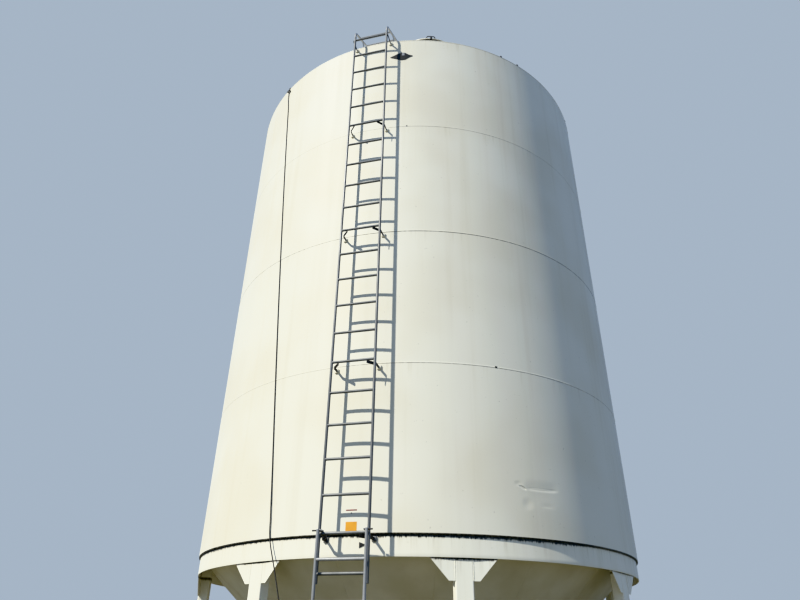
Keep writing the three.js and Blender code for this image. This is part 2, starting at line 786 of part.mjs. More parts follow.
const leverTip = at(ROPE_AZ, leverEnd + ROPE_R + GAP, lidTop - leverEnd * Math.tan(leverRise));
const roofRun = [
  leverTip,
  ...ROPE_AT_LEVER.map(([beyond, below]) => at(ROPE_AZ, leverEnd + beyond, leverTip.z - below)),
  ...ROPE_ON_ROOF.map(([r, off]) => ropeOnRoof(r, off)),
  ropeOnRoof(ROPE_EAVE_START, ROPE_OFF),
];
const eaveR = WALL_R + ROPE_OFF_EAVE;
const eaveRun = [
  ropeOnRoof(ROPE_EAVE_START + 2 * GAP, ROPE_OFF),
  ...ROPE_NEAR_EAVE.map(([r, off]) => ropeOnRoof(r, off)),
  at(ROPE_AZ, WALL_R + ROPE_OFF_EAVE / 2, EAVE_Z + 15),
  at(ROPE_AZ, eaveR, EAVE_Z - 12),
  at(ROPE_AZ, eaveR, EAVE_Z - ROPE_EAVE_DROP / 2),
  at(ROPE_AZ, eaveR, EAVE_Z - ROPE_EAVE_DROP),
];
const fallHead = EAVE_Z - ROPE_EAVE_DROP - 2 * GAP;
const wallRun = [0, 40, 80].map((drop) => at(ROPE_AZ, eaveR, fallHead - drop));
for (const t of ROPE_WALL_PARTS) {
  const azimuth = ROPE_AZ + (ROPE_FOOT_AZ - ROPE_AZ) * t;
  const z = fallHead + (WALL_FOOT - fallHead) * t;
  const nearEnd = t > 0.95;
  wallRun.push(at(azimuth, WALL_R + (nearEnd ? ROPE_OFF_EAVE : ROPE_OFF), z));
}
const [ropeOut, ropeBack, ropeUp] = CLEAT_ROPE_OFF;
const cleatX = -LOW_RAIL_X - RAIL_D / 2 - ropeOut;
const cleatPoint = new THREE.Vector3(cleatX, -LOW_R + ropeBack, CLEAT_Z + ropeUp);
const wallFootPoint = wallRun[wallRun.length - 1];
for (const t of ROPE_FREE_PARTS) {
  wallRun.push(wallFootPoint.clone().lerp(cleatPoint, t));
}
add("lid_rope_roof", rodAlong(roofRun, ROPE_ROOF_STEPS, ROPE_R, ROPE_SIDES), ROPE);
add("lid_rope_eave", rodAlong(eaveRun, ROPE_EAVE_STEPS, ROPE_R, ROPE_SIDES), ROPE);
add("lid_rope_fall", rodAlong(wallRun, ROPE_FALL_STEPS, ROPE_R, ROPE_SIDES), ROPE);

const object = new THREE.Group();
object.add(bin);
export default object;
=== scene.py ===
# %% [markdown]
# # Dressing a hopper bottom grain bin
#
# A steel grain bin stands on eight legs. Its solids come from a CAD file and are loaded below as
# a fixed frame. This lesson gives them their looks: wall rings with their seam beads, a dented
# sheet, welds, bolts, a rope, and paint that has stood in the weather.

import math

import bpy
from mathutils import Matrix, Vector


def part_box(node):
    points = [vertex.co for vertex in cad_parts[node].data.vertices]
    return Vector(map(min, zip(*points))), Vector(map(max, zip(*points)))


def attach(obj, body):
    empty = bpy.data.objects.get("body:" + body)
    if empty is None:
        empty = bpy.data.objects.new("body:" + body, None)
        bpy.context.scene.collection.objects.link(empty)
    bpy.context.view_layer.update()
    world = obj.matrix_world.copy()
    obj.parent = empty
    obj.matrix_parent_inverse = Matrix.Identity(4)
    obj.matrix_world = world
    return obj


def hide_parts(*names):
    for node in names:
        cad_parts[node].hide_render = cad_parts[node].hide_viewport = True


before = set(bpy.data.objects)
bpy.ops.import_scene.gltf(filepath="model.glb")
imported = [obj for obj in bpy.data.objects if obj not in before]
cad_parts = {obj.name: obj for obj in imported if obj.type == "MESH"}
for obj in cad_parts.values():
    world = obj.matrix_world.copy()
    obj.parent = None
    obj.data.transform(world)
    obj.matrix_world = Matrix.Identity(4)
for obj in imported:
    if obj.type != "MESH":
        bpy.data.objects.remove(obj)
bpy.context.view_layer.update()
bpy.ops.object.select_all(action="DESELECT")
print("CAD nodes:", len(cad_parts))

# %% [markdown]
# The wall is round, so most places are easiest to give as an angle from the ladder, a distance
# from the bin's upright axis and a height. The main sizes are read from the CAD solids, so that
# every piece below sits where its solid is. GAP is the hair's breadth that the CAD leaves
# between two solids that touch.

# %% Main sizes, in metres
ring_low, ring_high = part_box("wall_ring_1")
WALL_R = (ring_high.x - ring_low.x) / 2
AXIS_Y = (ring_high.y + ring_low.y) / 2
WALL_FOOT = ring_low.z
RING_H = 1.524
EAVE_Z = WALL_FOOT + 4 * RING_H
band_low, band_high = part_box("hopper_band")
BAND_R = (band_high.x - band_low.x) / 2
BAND_FOOT, BAND_HEAD = band_low.z, band_high.z
GAP = 0.0003
ROOF_SLOPE = math.radians(30)
ROOF_TAN = math.tan(ROOF_SLOPE)
ROOF_T = 0.006
ROOF_EDGE_Z = EAVE_Z + GAP
ROOF_FOOT = ROOF_EDGE_Z + ROOF_T / math.cos(ROOF_SLOPE)


def spot(azimuth, r, z):
    """A point at an angle from the ladder toward +X, a distance from the axis and a height."""
    a = math.radians(azimuth)
    return Vector((r * math.sin(a), AXIS_Y - r * math.cos(a), z))


print("wall radius", round(WALL_R, 4), "axis", round(AXIS_Y, 4), "eave", round(EAVE_Z, 4))

# %% [markdown]
# The camera stands close to the bin and looks up. Its place, its tilt and its focal length were
# worked out from the seams, the edges and the ladder in the picture that the bin is made after.
# Blender takes a focal length in millimetres for a sensor of a stated width, so the length found
# in picture points is divided by the picture's width.

# %% Camera
CAMERA_AT = Vector((1.7868, -7.5980 + AXIS_Y, 1.6))
CAMERA_TURN = math.radians(14.978)
CAMERA_PITCH = math.radians(29.617)
CAMERA_ROLL = math.radians(-0.848)
FOCAL_PX = 620.01
PICTURE_W = 800
SENSOR_W = 36

ahead = Vector((-math.sin(CAMERA_TURN), math.cos(CAMERA_TURN), 0))
right = Vector((math.cos(CAMERA_TURN), math.sin(CAMERA_TURN), 0))
look = ahead * math.cos(CAMERA_PITCH) + Vector((0, 0, math.sin(CAMERA_PITCH)))
up = right.cross(look)
cos_roll, sin_roll = math.cos(CAMERA_ROLL), math.sin(CAMERA_ROLL)
camera_right = right * cos_roll - up * sin_roll
camera_up = right * sin_roll + up * cos_roll

camera_data = bpy.data.cameras.new("camera")
camera_data.sensor_width = SENSOR_W
camera_data.lens = FOCAL_PX / PICTURE_W * SENSOR_W
camera = bpy.data.objects.new("camera", camera_data)
bpy.context.scene.collection.objects.link(camera)
axes = Matrix((camera_right, camera_up, -look)).transposed()
camera.matrix_world = Matrix.Translation(CAMERA_AT) @ axes.to_4x4()
bpy.context.scene.camera = camera
print("lens", round(camera_data.lens, 2), "mm")

# %% [markdown]
# A rope runs from the lever of the fill lid down the roof, over the eave, and down the wall to a
# cleat on the lower ladder, where it is made fast. A rope could be left as a curve with a bevel,
# but a mesh tube along a list of points shows its length best. The points are the ones that the
# CAD rope follows, each a few millimetres off the steel that it lies on.

# %% Rope: the points of its route
ROPE_AZ = -34.2
ROPE_FOOT_AZ = -18.4
ROPE_R = 0.0055
FILL_R, NECK_H, CAP_RISE = 0.305, 0.150, 0.070
LEVER_END, LEVER_FALL = 0.425, 0.060 / 0.335


def on_roof(r):
    """Height of the roof's upper side at a distance from the axis."""
    return ROOF_FOOT + (WALL_R - r) * ROOF_TAN


def over_roof(r, off):
    """A point of the rope at a distance from the axis and a height over the roof."""
    return spot(ROPE_AZ, r, on_roof(r) + off / math.cos(ROOF_SLOPE))


FILL_Z = on_roof(FILL_R)
LEVER_TIP_Z = FILL_Z + NECK_H + GAP + CAP_RISE - LEVER_END * LEVER_FALL
rope_points = [spot(ROPE_AZ, LEVER_END + ROPE_R + GAP, LEVER_TIP_Z)]
for beyond, below in ((0.016, 0.080), (0.045, 0.160)):
    rope_points.append(spot(ROPE_AZ, LEVER_END + beyond, LEVER_TIP_Z - below))
for r, off in ((0.54, 0.022), (0.655, 0.0085), (0.9, 0.0065), (1.2, 0.0065), (1.5, 0.0065),
               (1.9, 0.0065), (2.25, 0.0065), (2.3, 0.0065), (2.35, 0.0075), (2.4, 0.01)):
    rope_points.append(over_roof(r, off))
rope_points.append(spot(ROPE_AZ, WALL_R + 0.005, EAVE_Z + 0.015))
for drop in (0.012, 0.055, 0.110, 0.1506, 0.1906):
    rope_points.append(spot(ROPE_AZ, WALL_R + 0.010, EAVE_Z - drop))
FALL_HEAD = EAVE_Z - 0.1106
for part in (0.05, 0.1, 0.2, 0.3, 0.4, 0.5, 0.6, 0.7, 0.8, 0.9, 0.97, 1):
    az = ROPE_AZ + (ROPE_FOOT_AZ - ROPE_AZ) * part
    off = 0.010 if part > 0.95 else 0.0065
    rope_points.append(spot(az, WALL_R + off, FALL_HEAD + (WALL_FOOT - FALL_HEAD) * part))
CLEAT_END = Vector((-0.23585, AXIS_Y - 2.6064, 1.038))
wall_end = rope_points[-1]
for part in (0.2, 0.45, 0.7, 1):
    rope_points.append(wall_end.lerp(CLEAT_END, part))
print("rope points:", len(rope_points))

# %% [markdown]
# A rope never turns a sharp corner. A smooth line joins the points and passes through every one
# of them, and a curve with a round bevel along that line becomes the tube. Both ends are knotted.
# A knot is the same tube, along a line that crosses itself.

# %% Rope: a smooth line through the points
MIN_SPAN = 1e-6


def smooth_line(points, step):
    """A line that passes smoothly through all the points, cut every step metres or less."""
    ends = [points[0] * 2 - points[1], *points, points[-1] * 2 - points[-2]]
    line = [points[0].copy()]
    for p0, p1, p2, p3 in zip(ends, ends[1:], ends[2:], ends[3:]):
        knots = [0.0]
        for a, b in ((p0, p1), (p1, p2), (p2, p3)):
            knots.append(knots[-1] + max((b - a).length, MIN_SPAN) ** 0.5)
        t0, t1, t2, t3 = knots
        cuts = max(2, math.ceil((p2 - p1).length / step))
        for i in range(1, cuts + 1):
            t = t1 + (t2 - t1) * i / cuts
            a1 = p0 * ((t1 - t) / (t1 - t0)) + p1 * ((t - t0) / (t1 - t0))
            a2 = p1 * ((t2 - t) / (t2 - t1)) + p2 * ((t - t1) / (t2 - t1))
            a3 = p2 * ((t3 - t) / (t3 - t2)) + p3 * ((t - t2) / (t3 - t2))
            b1 = a1 * ((t2 - t) / (t2 - t0)) + a2 * ((t - t0) / (t2 - t0))
            b2 = a2 * ((t3 - t) / (t3 - t1)) + a3 * ((t - t1) / (t3 - t1))
            line.append(b1 * ((t2 - t) / (t2 - t1)) + b2 * ((t - t1) / (t2 - t1)))
    return line


rope_line = smooth_line(rope_points, 0.03)


# %% Rope: the tube
def tube(name, line, radius, sides=5):
    """A round tube with capped ends along a line of points, as a mesh."""
    curve = bpy.data.curves.new(name, "CURVE")
    curve.dimensions = "3D"
    curve.bevel_depth = radius
    curve.bevel_resolution = sides - 3
    curve.use_fill_caps = True
    spline = curve.splines.new("POLY")
    spline.points.add(len(line) - 1)
    for point, place in zip(spline.points, line):
        point.co = (*place, 1)
    piece = bpy.data.objects.new(name, curve)
    bpy.context.scene.collection.objects.link(piece)
    bpy.context.view_layer.objects.active = piece
    piece.select_set(True)
    bpy.ops.object.convert(target="MESH")
    piece = bpy.context.view_layer.objects.active
    bpy.ops.object.shade_smooth()
    bpy.ops.object.select_all(action="DESELECT")
    return piece


KNOT_POINTS = 61


def knot(name, centre, size):
    """A rope knotted on itself: a tube along a line that crosses itself three times."""
    line = []
    for i in range(KNOT_POINTS):
        t = 2 * math.pi * i / KNOT_POINTS
        turn = Vector((math.sin(t) + 2 * math.sin(2 * t), math.sin(3 * t) * 1.2,
                       math.cos(t) - 2 * math.cos(2 * t)))
        line.append(centre + turn * (size / 6))
    return tube(name, line, ROPE_R)


rope = tube("lid_rope", rope_line, ROPE_R)
lever_knot = knot("lever_knot", rope_line[0] + Vector((0, 0, -0.020)), 0.042)
cleat_knot = knot("cleat_knot", rope_line[-1] + Vector((0.002, 0, -0.012)), 0.048)
for piece in (rope, lever_knot, cleat_knot):
    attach(piece, "root")
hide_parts("lid_rope_roof", "lid_rope_eave", "lid_rope_fall")
print("rope faces", len(rope.data.polygons))

# %% [markdown]
# Paint on steel is never one flat colour. Rain carries dust down in streaks, dirt gathers under
# every seam, and a big sheet is a little wavy. Each finish below is built from nodes that read
# the object's own coordinates, so the pattern stays on the steel from any side.
#
# A small class keeps the node code short: one call adds a node and joins it to others.

# %% A helper for finishes
class Finish:
    """A material, with short calls that add nodes and join them."""

    def __init__(self, name, roughness, metallic=0.0, chalk=0.0, gloss=0.5):
        self.material = bpy.data.materials.new(name)
        self.material.use_nodes = True
        self.nodes = self.material.node_tree.nodes
        self.links = self.material.node_tree.links
        self.shader = self.nodes["Principled BSDF"]
        self.shader.inputs["Roughness"].default_value = roughness
        self.shader.inputs["Metallic"].default_value = metallic
        self.shader.inputs["Diffuse Roughness"].default_value = chalk
        self.shader.inputs["Specular IOR Level"].default_value = gloss
        self.place = self.nodes.new("ShaderNodeTexCoord").outputs["Object"]

    def add(self, kind, inputs, **settings):
        """Adds a node with these settings, and gives or joins its inputs."""
        node = self.nodes.new(kind)
        for key, value in settings.items():
            setattr(node, key, value)
        for key, value in inputs.items():
            if isinstance(value, bpy.types.NodeSocket):
                self.links.new(value, node.inputs[key])
            else:
                node.inputs[key].default_value = value
        return node

    def sum(self, operation, a, b):
        """One sum on two numbers or sockets."""
        return self.add("ShaderNodeMath", {0: a, 1: b}, operation=operation).outputs[0]

    def product(self, value, *factors):
        """The product of several sockets."""
        for factor in factors:
            value = self.sum("MULTIPLY", value, factor)
        return value

    def noise(self, scale, stretch=(1, 1, 1), *, detail):
        """Soft random patches; stretch below 1 on an axis draws them out along it."""
        mapped = self.add("ShaderNodeMapping", {"Vector": self.place, "Scale": stretch})
        inputs = {"Vector": mapped.outputs[0], "Scale": scale, "Detail": detail}
        return self.add("ShaderNodeTexNoise", inputs).outputs[0]

    def between(self, value, low, high, out_low=0.0, out_high=1.0):
        """A soft step: out_low below low, out_high above high."""
        inputs = {0: value, 1: low, 2: high, 3: out_low, 4: out_high}
        return self.add("ShaderNodeMapRange", inputs, interpolation_type="SMOOTHSTEP").outputs[0]

    def mix(self, factor, a, b):
        """Colour a, and colour b where the factor is 1."""
        node = self.add("ShaderNodeMix", {0: factor}, data_type="RGBA")
        for index, colour in ((6, a), (7, b)):
            if isinstance(colour, bpy.types.NodeSocket):
                self.links.new(colour, node.inputs[index])
            else:
                node.inputs[index].default_value = (*colour, 1)
        return node.outputs[2]

    def along_axis(self, axis):
        """The object coordinate along one axis: 0 is X, 2 is the height."""
        return self.add("ShaderNodeSeparateXYZ", {0: self.place}).outputs[axis]

    def height(self):
        """The object coordinate upwards, which is the height above the ground."""
        return self.along_axis(2)

    def bump(self, value, depth, strength, under=None):
        """A bump of a depth in metres, on top of another bump where one is given."""
        inputs = {"Height": value, "Distance": depth, "Strength": strength}
        if under is not None:
            inputs["Normal"] = under
        return self.add("ShaderNodeBump", inputs).outputs[0]

    def set(self, colour, roughness, normal):
        """Joins what is given to the shader, and hands over the material."""
        for key, value in (("Base Color", colour), ("Roughness", roughness), ("Normal", normal)):
            if value is not None:
                self.links.new(value, self.shader.inputs[key])
        return self.material


print("the helper for finishes is ready")

# %% [markdown]
# The wall is cream white. Under each level seam hangs a thin line of dirt with faint runs below
# it, darkest at the middle seam, and broad upright bands show where rain runs down. The dirt
# could be painted on by hand, but a height that starts again at every ring is enough to find the
# seams, and noise drawn out upright makes the runs. The sheet waves a little, which shows only
# in the gloss.

# %% Finish: wall paint
CREAM = (0.80, 0.775, 0.67)
CREAM_WORN = (0.74, 0.70, 0.58)
DUST = (0.50, 0.45, 0.34)
GRIME = (0.05, 0.045, 0.035)


def cream_base(finish, streak_stretch=(7, 7, 0.22)):
    """The cream colour shared by all painted pieces, with worn patches and dusty streaks."""
    patches = finish.between(finish.noise(0.9, detail=2), 0.35, 0.7)
    colour = finish.mix(patches, CREAM, CREAM_WORN)
    streaks = finish.noise(1.0, streak_stretch, detail=5)
    colour = finish.mix(finish.between(streaks, 0.5, 0.78, 0, 0.22), colour, DUST)
    specks = finish.noise(38, detail=2)
    colour = finish.mix(finish.between(specks, 0.735, 0.76, 0, 0.24), colour, GRIME)
    return colour, streaks


def gloss_and_skin(finish, streaks, low=0.50, high=0.65):
    """Roughness that varies with the dust, the sheet's soft waves and the paint's fine skin."""
    rough = finish.between(streaks, 0.35, 0.7, low, high)
    waves = finish.bump(finish.noise(1.3, (1, 1, 0.35), detail=1), 0.012, 0.5)
    skin = finish.bump(finish.noise(160, detail=2), 0.0006, 0.35, under=waves)
    return rough, skin


MIDDLE_FROM, MIDDLE_TO, MIDDLE_SOFT = 4.7, 6.2, 0.1


def by_seam(finish, low, middle, high):
    """One value at the lower seam, one at the middle seam and one at the upper seam."""
    first = finish.between(finish.height(), MIDDLE_FROM, MIDDLE_FROM + MIDDLE_SOFT, low, middle)
    second = finish.between(finish.height(), MIDDLE_TO, MIDDLE_TO + MIDDLE_SOFT, 0, high - middle)
    return finish.sum("ADD", first, second)


def wall_finish():
    """Cream paint with a broken line of dirt under each seam, and faint runs below it."""
    finish = Finish("wall_paint", 0.55, chalk=0.15)
    colour, streaks = cream_base(finish)
    above_foot = finish.sum("SUBTRACT", finish.height(), WALL_FOOT)
    in_ring = finish.sum("FLOORED_MODULO", above_foot, RING_H)
    under_seam = finish.sum("SUBTRACT", RING_H, in_ring)
    fine = finish.noise(1.0, (26, 26, 1.2), detail=4)
    thicker = by_seam(finish, 0, 0.0012, 0)
    line = finish.product(
        finish.between(finish.sum("SUBTRACT", under_seam, thicker), 0.0105, 0.0085),
        finish.between(under_seam, 0.0045, 0.006),
        finish.between(fine, 0.3, 0.6, 0.25, 0.8),
        by_seam(finish, 0.85, 1.65, 0.60),
        finish.between(finish.along_axis(0), -0.4, 0.2, 0.65, 1.0))
    runs = finish.product(finish.between(under_seam, 0.22, 0.01),
                          finish.between(fine, 0.55, 0.75, 0, 0.25))
    colour = finish.mix(runs, colour, DUST)
    colour = finish.mix(line, colour, GRIME)
    rough, skin = gloss_and_skin(finish, streaks)
    return finish.set(colour, rough, skin)


WALL_PAINT = wall_finish()
print("made", WALL_PAINT.name)

# %% [markdown]
# The band under the wall stays damp, so a black line of dirt and algae sits at its head, with a
# ragged lower edge of small drips. The wall's foot overhangs the band, so the line is also
# painted shade of that overhang, and the soft brown fringe under it is drips and painted shade.
# The same happens at the head of each wing plate, which the band shelters and shades. One
# function makes both: it darkens the paint from a head down to a height that fine upright noise
# makes ragged. The line is thinner at the far right, as on the real bin.

# %% Finish: band and leg paint
BLEACHED = (0.93, 0.91, 0.80)
DRIP_BROWN_AND_SHADE = (0.23, 0.20, 0.15)
BLACK_DIRT_AND_SHADE = (0.022, 0.020, 0.016)


def ragged_line(finish, below, depth, drip):
    """Two soft steps, 1 from the head down to a ragged depth: the black line, and its fringe, both
    dirt and painted shade.
    """
    comb = finish.noise(1.0, (95, 95, 0.6), detail=4)
    wide = finish.noise(1.0, (1.1, 1.1, 0.2), detail=2)
    teeth = finish.product(finish.between(comb, 0.36, 0.68, 0, drip),
                           finish.between(wide, 0.3, 0.6, 0.45, 1.0))
    reach = finish.sum("ADD", teeth, finish.between(wide, 0.25, 0.6, depth * 0.7, depth))
    reach = finish.product(reach, finish.between(finish.along_axis(0), 1.70, 2.0, 1.0, 0.3))
    left = finish.sum("SUBTRACT", reach, below)
    under_head = finish.between(below, -0.0125, -0.0105)
    line = finish.product(finish.between(left, -0.002, 0.003), under_head,
                          finish.between(finish.along_axis(0), 1.9, 2.1, 1.0, 0.75))
    fringe = finish.product(finish.between(left, -0.012, 0.000), under_head)
    return line, fringe


def grime_and_shade_finish(name, head, depth, drip, bleach):
    """Cream paint with a black ragged line under a sheltering edge: dirt, and painted shade of the
    edge.
    """
    finish = Finish(name, 0.55, chalk=0.15)
    colour, streaks = cream_base(finish, (9, 9, 0.5))
    pale = finish.between(streaks, 0.3, 0.7, bleach, bleach * 0.6)
    colour = finish.mix(pale, colour, BLEACHED)
    below = finish.sum("SUBTRACT", head, finish.height())
    runs = finish.noise(1.0, (30, 30, 0.8), detail=4)
    fade = finish.product(finish.between(below, 0.17, 0.0),
                          finish.between(runs, 0.5, 0.8, 0, 0.55))
    colour = finish.mix(fade, colour, DUST)
    # The black line and its brown fringe: dirt, and painted shade under the sheltering edge.
    line, fringe = ragged_line(finish, below, depth, drip)
    colour = finish.mix(finish.product(fringe, 0.55), colour, DRIP_BROWN_AND_SHADE)
    patches = finish.between(finish.noise(70, (1, 1, 0.3), detail=3), 0.3, 0.6, 0.72, 1.0)
    colour = finish.mix(finish.product(line, patches), colour, BLACK_DIRT_AND_SHADE)
    rough, skin = gloss_and_skin(finish, streaks)
    return finish.set(colour, rough, skin)


# The band's line sits under the wall's foot, the legs' line under the band: both dirt and painted
# shade.
BAND_PAINT = grime_and_shade_finish("band_paint", BAND_HEAD, 0.014, 0.014, 0.5)
LEG_PAINT = grime_and_shade_finish("leg_paint", BAND_FOOT, 0.010, 0.008, 0.8)
print("made", BAND_PAINT.name, "and", LEG_PAINT.name)

# %% [markdown]
# The cone and the roof have the same cream paint, but they weather in their own ways. The cone
# looks down, so rain never washes it and dust hangs on it. Its olive dust is also painted shade,
# which makes the downward-facing cone darker than the wall. The roof looks up, so it goes chalky
# and dirty in soft patches. Both start from the wall's base colour and lay one more noise on it.

# %% Finish: hopper and roof paint
SLOPE_DUST_AND_SHADE = (0.47, 0.42, 0.27)


def hopper_finish():
    """Cream paint seen from below: dull, with dust that hangs on the slope, and painted shade in
    the same olive colour.
    """
    finish = Finish("hopper_paint", 0.6)
    colour, streaks = cream_base(finish, (5, 5, 2.4))
    # One olive layer: dust, and painted shade of the cone's underside.
    dust_and_shade = finish.between(finish.noise(2.2, detail=4), 0.3, 0.75, 0.25, 0.6)
    colour = finish.mix(dust_and_shade, colour, SLOPE_DUST_AND_SHADE)
    rough, skin = gloss_and_skin(finish, streaks, 0.5, 0.7)
    return finish.set(colour, rough, skin)


HOPPER_PAINT = hopper_finish()


def roof_finish():
    """Cream paint that lies open to rain and sun, chalky, with dirt in soft patches."""
    finish = Finish("roof_paint", 0.5)
    colour, streaks = cream_base(finish, (4, 4, 1.5))
    patches = finish.between(finish.noise(3.0, detail=6), 0.5, 0.8, 0, 0.3)
    colour = finish.mix(patches, colour, DUST)
    rough, skin = gloss_and_skin(finish, streaks, 0.45, 0.65)
    return finish.set(colour, rough, skin)


ROOF_PAINT = roof_finish()
print("paints:", [m.name for m in bpy.data.materials if "paint" in m.name])

# %% [markdown]
# Hot dip zinc goes dull grey with a faint pattern of crystals. A texture of cells gives each
# crystal its own shade. The galvanised steel is made twice from one steel: a darker copy with
# painted shade, for the side ladder seen from below and the small fittings, and a lighter copy
# with painted light, for the pipes that are seen lit. The straps and the fittings are near black,
# which is painted shade of steel seen from below, with rust where water stands. All of them
# come from one function, with other colours.

# %% Finish: galvanised steel, dark steel and rust
RUST = (0.19, 0.09, 0.04)


def zinc_finish(name, bright, dull, metallic, roughness, gloss=0.5):
    """Grey metal with small crystals, dull patches and spots of rust."""
    finish = Finish(name, roughness, metallic, gloss=gloss)
    crystals = finish.add("ShaderNodeTexVoronoi", {"Vector": finish.place, "Scale": 120.0})
    shade = finish.add("ShaderNodeSeparateColor", {0: crystals.outputs["Color"]}).outputs[0]
    patches = finish.noise(6, (1, 1, 0.4), detail=5)
    amount = finish.sum("ADD", finish.product(shade, 0.35), finish.between(patches, 0.3, 0.75))
    colour = finish.mix(finish.sum("MINIMUM", amount, 1.0), bright, dull)
    rust = finish.between(finish.noise(14, detail=6), 0.7, 0.8, 0, 0.5)
    colour = finish.mix(rust, colour, RUST)
    rough = finish.between(patches, 0.3, 0.75, roughness - 0.1, roughness + 0.12)
    skin = finish.bump(finish.noise(90, detail=3), 0.0008, 0.4)
    return finish.set(colour, rough, skin)


# The darker copy of the galvanised steel, with painted shade.
SHADED_ZINC = zinc_finish("galvanised", (0.155, 0.16, 0.165), (0.09, 0.095, 0.10),
                   metallic=0.0, roughness=0.42, gloss=0.8)
# The lighter copy of the same galvanised steel, with painted light.
LIT_ZINC = zinc_finish("galvanised_lit", (0.32, 0.325, 0.33), (0.22, 0.225, 0.23),
                       metallic=0.0, roughness=0.36, gloss=1.0)
# Near black: painted shade of steel seen from below, with rust spots.
SHADED_DARK_STEEL = zinc_finish("strap_steel", (0.060, 0.055, 0.050), (0.030, 0.027, 0.024),
                         metallic=0.3, roughness=0.62)
BLACK_PLATE = zinc_finish("dark_plate", (0.016, 0.016, 0.015), (0.008, 0.008, 0.008),
                          metallic=0.0, roughness=0.6)
print("metals:", [m.name for m in (SHADED_ZINC, LIT_ZINC, SHADED_DARK_STEEL, BLACK_PLATE)])

# %% [markdown]
# The rope has strands laid round each other. A wave that runs aslant through the object's
# coordinates draws them as ridges in the bump, and fine noise makes the fibres lighter and
# darker. The small plates and the floor need no more than one colour that fades a little.

# %% Finish: rope, plates and floor
ROPE_DARK, ROPE_LIGHT = (0.018, 0.018, 0.019), (0.065, 0.064, 0.062)


def rope_finish():
    """Dark fibre with the ridges of its strands."""
    finish = Finish("rope_fibre", 0.85)
    twist = finish.noise(240, (1, 1, 0.35), detail=3)
    colour = finish.mix(finish.between(twist, 0.3, 0.7), ROPE_DARK, ROPE_LIGHT)
    wave = {"Vector": finish.place, "Scale": 34.0, "Distortion": 0.6}
    strands = finish.add("ShaderNodeTexWave", wave, bands_direction="DIAGONAL").outputs["Fac"]
    return finish.set(colour, None, finish.bump(strands, 0.002, 0.7))


def plain_finish(name, light, dark, roughness, grain=22):
    """One colour with soft fading, for small plates and the floor."""
    finish = Finish(name, roughness)
    fade = finish.noise(grain, detail=4)
    colour = finish.mix(finish.between(fade, 0.35, 0.75), light, dark)
    rough = finish.between(fade, 0.3, 0.8, roughness - 0.06, roughness + 0.1)
    return finish.set(colour, rough, finish.bump(fade, 0.0008, 0.15))


ROPE_FIBRE = rope_finish()
YELLOW_PLATE = plain_finish("yellow_plate", (0.78, 0.36, 0.012), (0.62, 0.28, 0.02), 0.5)
RED_PLATE = plain_finish("red_plate", (0.26, 0.030, 0.028), (0.10, 0.045, 0.030), 0.5, 60)
FLOOR_PAINT = plain_finish("floor", (0.66, 0.655, 0.63), (0.62, 0.61, 0.59), 0.8, 3)
for piece in (rope, lever_knot, cleat_knot):
    piece.data.materials.clear()
    piece.data.materials.append(ROPE_FIBRE)
print("finishes:", len(bpy.data.materials))

# %% [markdown]
# Every piece is started from a primitive and shaped in edit mode. These helpers do what is
# repeated: settle a piece with its place in its mesh, ease its edges, and join, copy or dress
# pieces. No real edge is quite sharp, and an eased one catches a line of light.

# %% Helpers: settle, take, edit and ease
SMOOTH = 40


def settle(name, smooth=SMOOTH):
    """Ends editing, moves the piece's place into its mesh, and smooths its soft edges."""
    if bpy.context.mode == "EDIT_MESH":
        bpy.ops.object.mode_set(mode="OBJECT")
    piece = bpy.context.object
    piece.name = name
    piece.data.name = name
    bpy.ops.object.select_all(action="DESELECT")
    piece.select_set(True)
    bpy.ops.object.transform_apply(location=True, rotation=True, scale=True)
    bpy.ops.object.shade_smooth_by_angle(angle=math.radians(smooth))
    piece.select_set(False)
    return piece


def take(piece):
    """Makes a piece the active and only selected one."""
    bpy.ops.object.select_all(action="DESELECT")
    bpy.context.view_layer.objects.active = piece
    piece.select_set(True)
    return piece


def edit(piece, choice="SELECT"):
    """Takes a piece into edit mode, with all of it selected, or with "DESELECT" nothing."""
    take(piece)
    bpy.ops.object.mode_set(mode="EDIT")
    bpy.ops.mesh.select_all(action=choice)


def ease(piece, width, segments=2):
    """Rounds a piece's sharp edges with a Bevel modifier, which is then applied."""
    take(piece)
    bevel = piece.modifiers.new("ease", "BEVEL")
    bevel.width = width
    bevel.segments = segments
    bevel.limit_method = "ANGLE"
    bevel.angle_limit = math.radians(SMOOTH)
    bpy.ops.object.modifier_apply(modifier="ease")
    bpy.ops.object.shade_smooth_by_angle(angle=math.radians(SMOOTH))
    piece.select_set(False)
    return piece


print("shaping helpers ready")


# %% Helpers: join, copy and dress
def join(name, pieces):
    """Joins pieces into the first one."""
    take(pieces[0])
    for piece in pieces[1:]:
        piece.select_set(True)
    if len(pieces) > 1:
        bpy.ops.object.join()
    joined = bpy.context.view_layer.objects.active
    joined.name = name
    joined.data.name = name
    joined.select_set(False)
    return joined


def copy_of(piece, name, change):
    """A copy with its own mesh, moved by a matrix."""
    twin = piece.copy()
    twin.data = piece.data.copy()
    twin.name = name
    twin.data.transform(change)
    bpy.context.scene.collection.objects.link(twin)
    return twin


def dress(piece, finish, slot, *nodes):
    """Gives a piece its finish and its body, and hides the CAD nodes that it stands for.
    The slot is not used.
    """
    piece.data.materials.clear()
    piece.data.materials.append(finish)
    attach(piece, "root")
    if nodes:
        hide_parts(*nodes)
    return piece


ORIGIN = Vector((0, 0, 0))
AXIS = Vector((0, AXIS_Y, 0))


def round_axis(azimuth):
    """The turn round the bin's axis that brings the front to an azimuth."""
    there = Matrix.Translation(AXIS)
    return there @ Matrix.Rotation(math.radians(azimuth), 4, "Z") @ there.inverted()


print("joining helpers ready")

# %% [markdown]
# A round piece is turned as on a lathe. Spin could do it, but pulling a ring of points along the
# piece's outline, with a resize at each stop, leaves the points in exact rows and gives each
# height its exact radius.

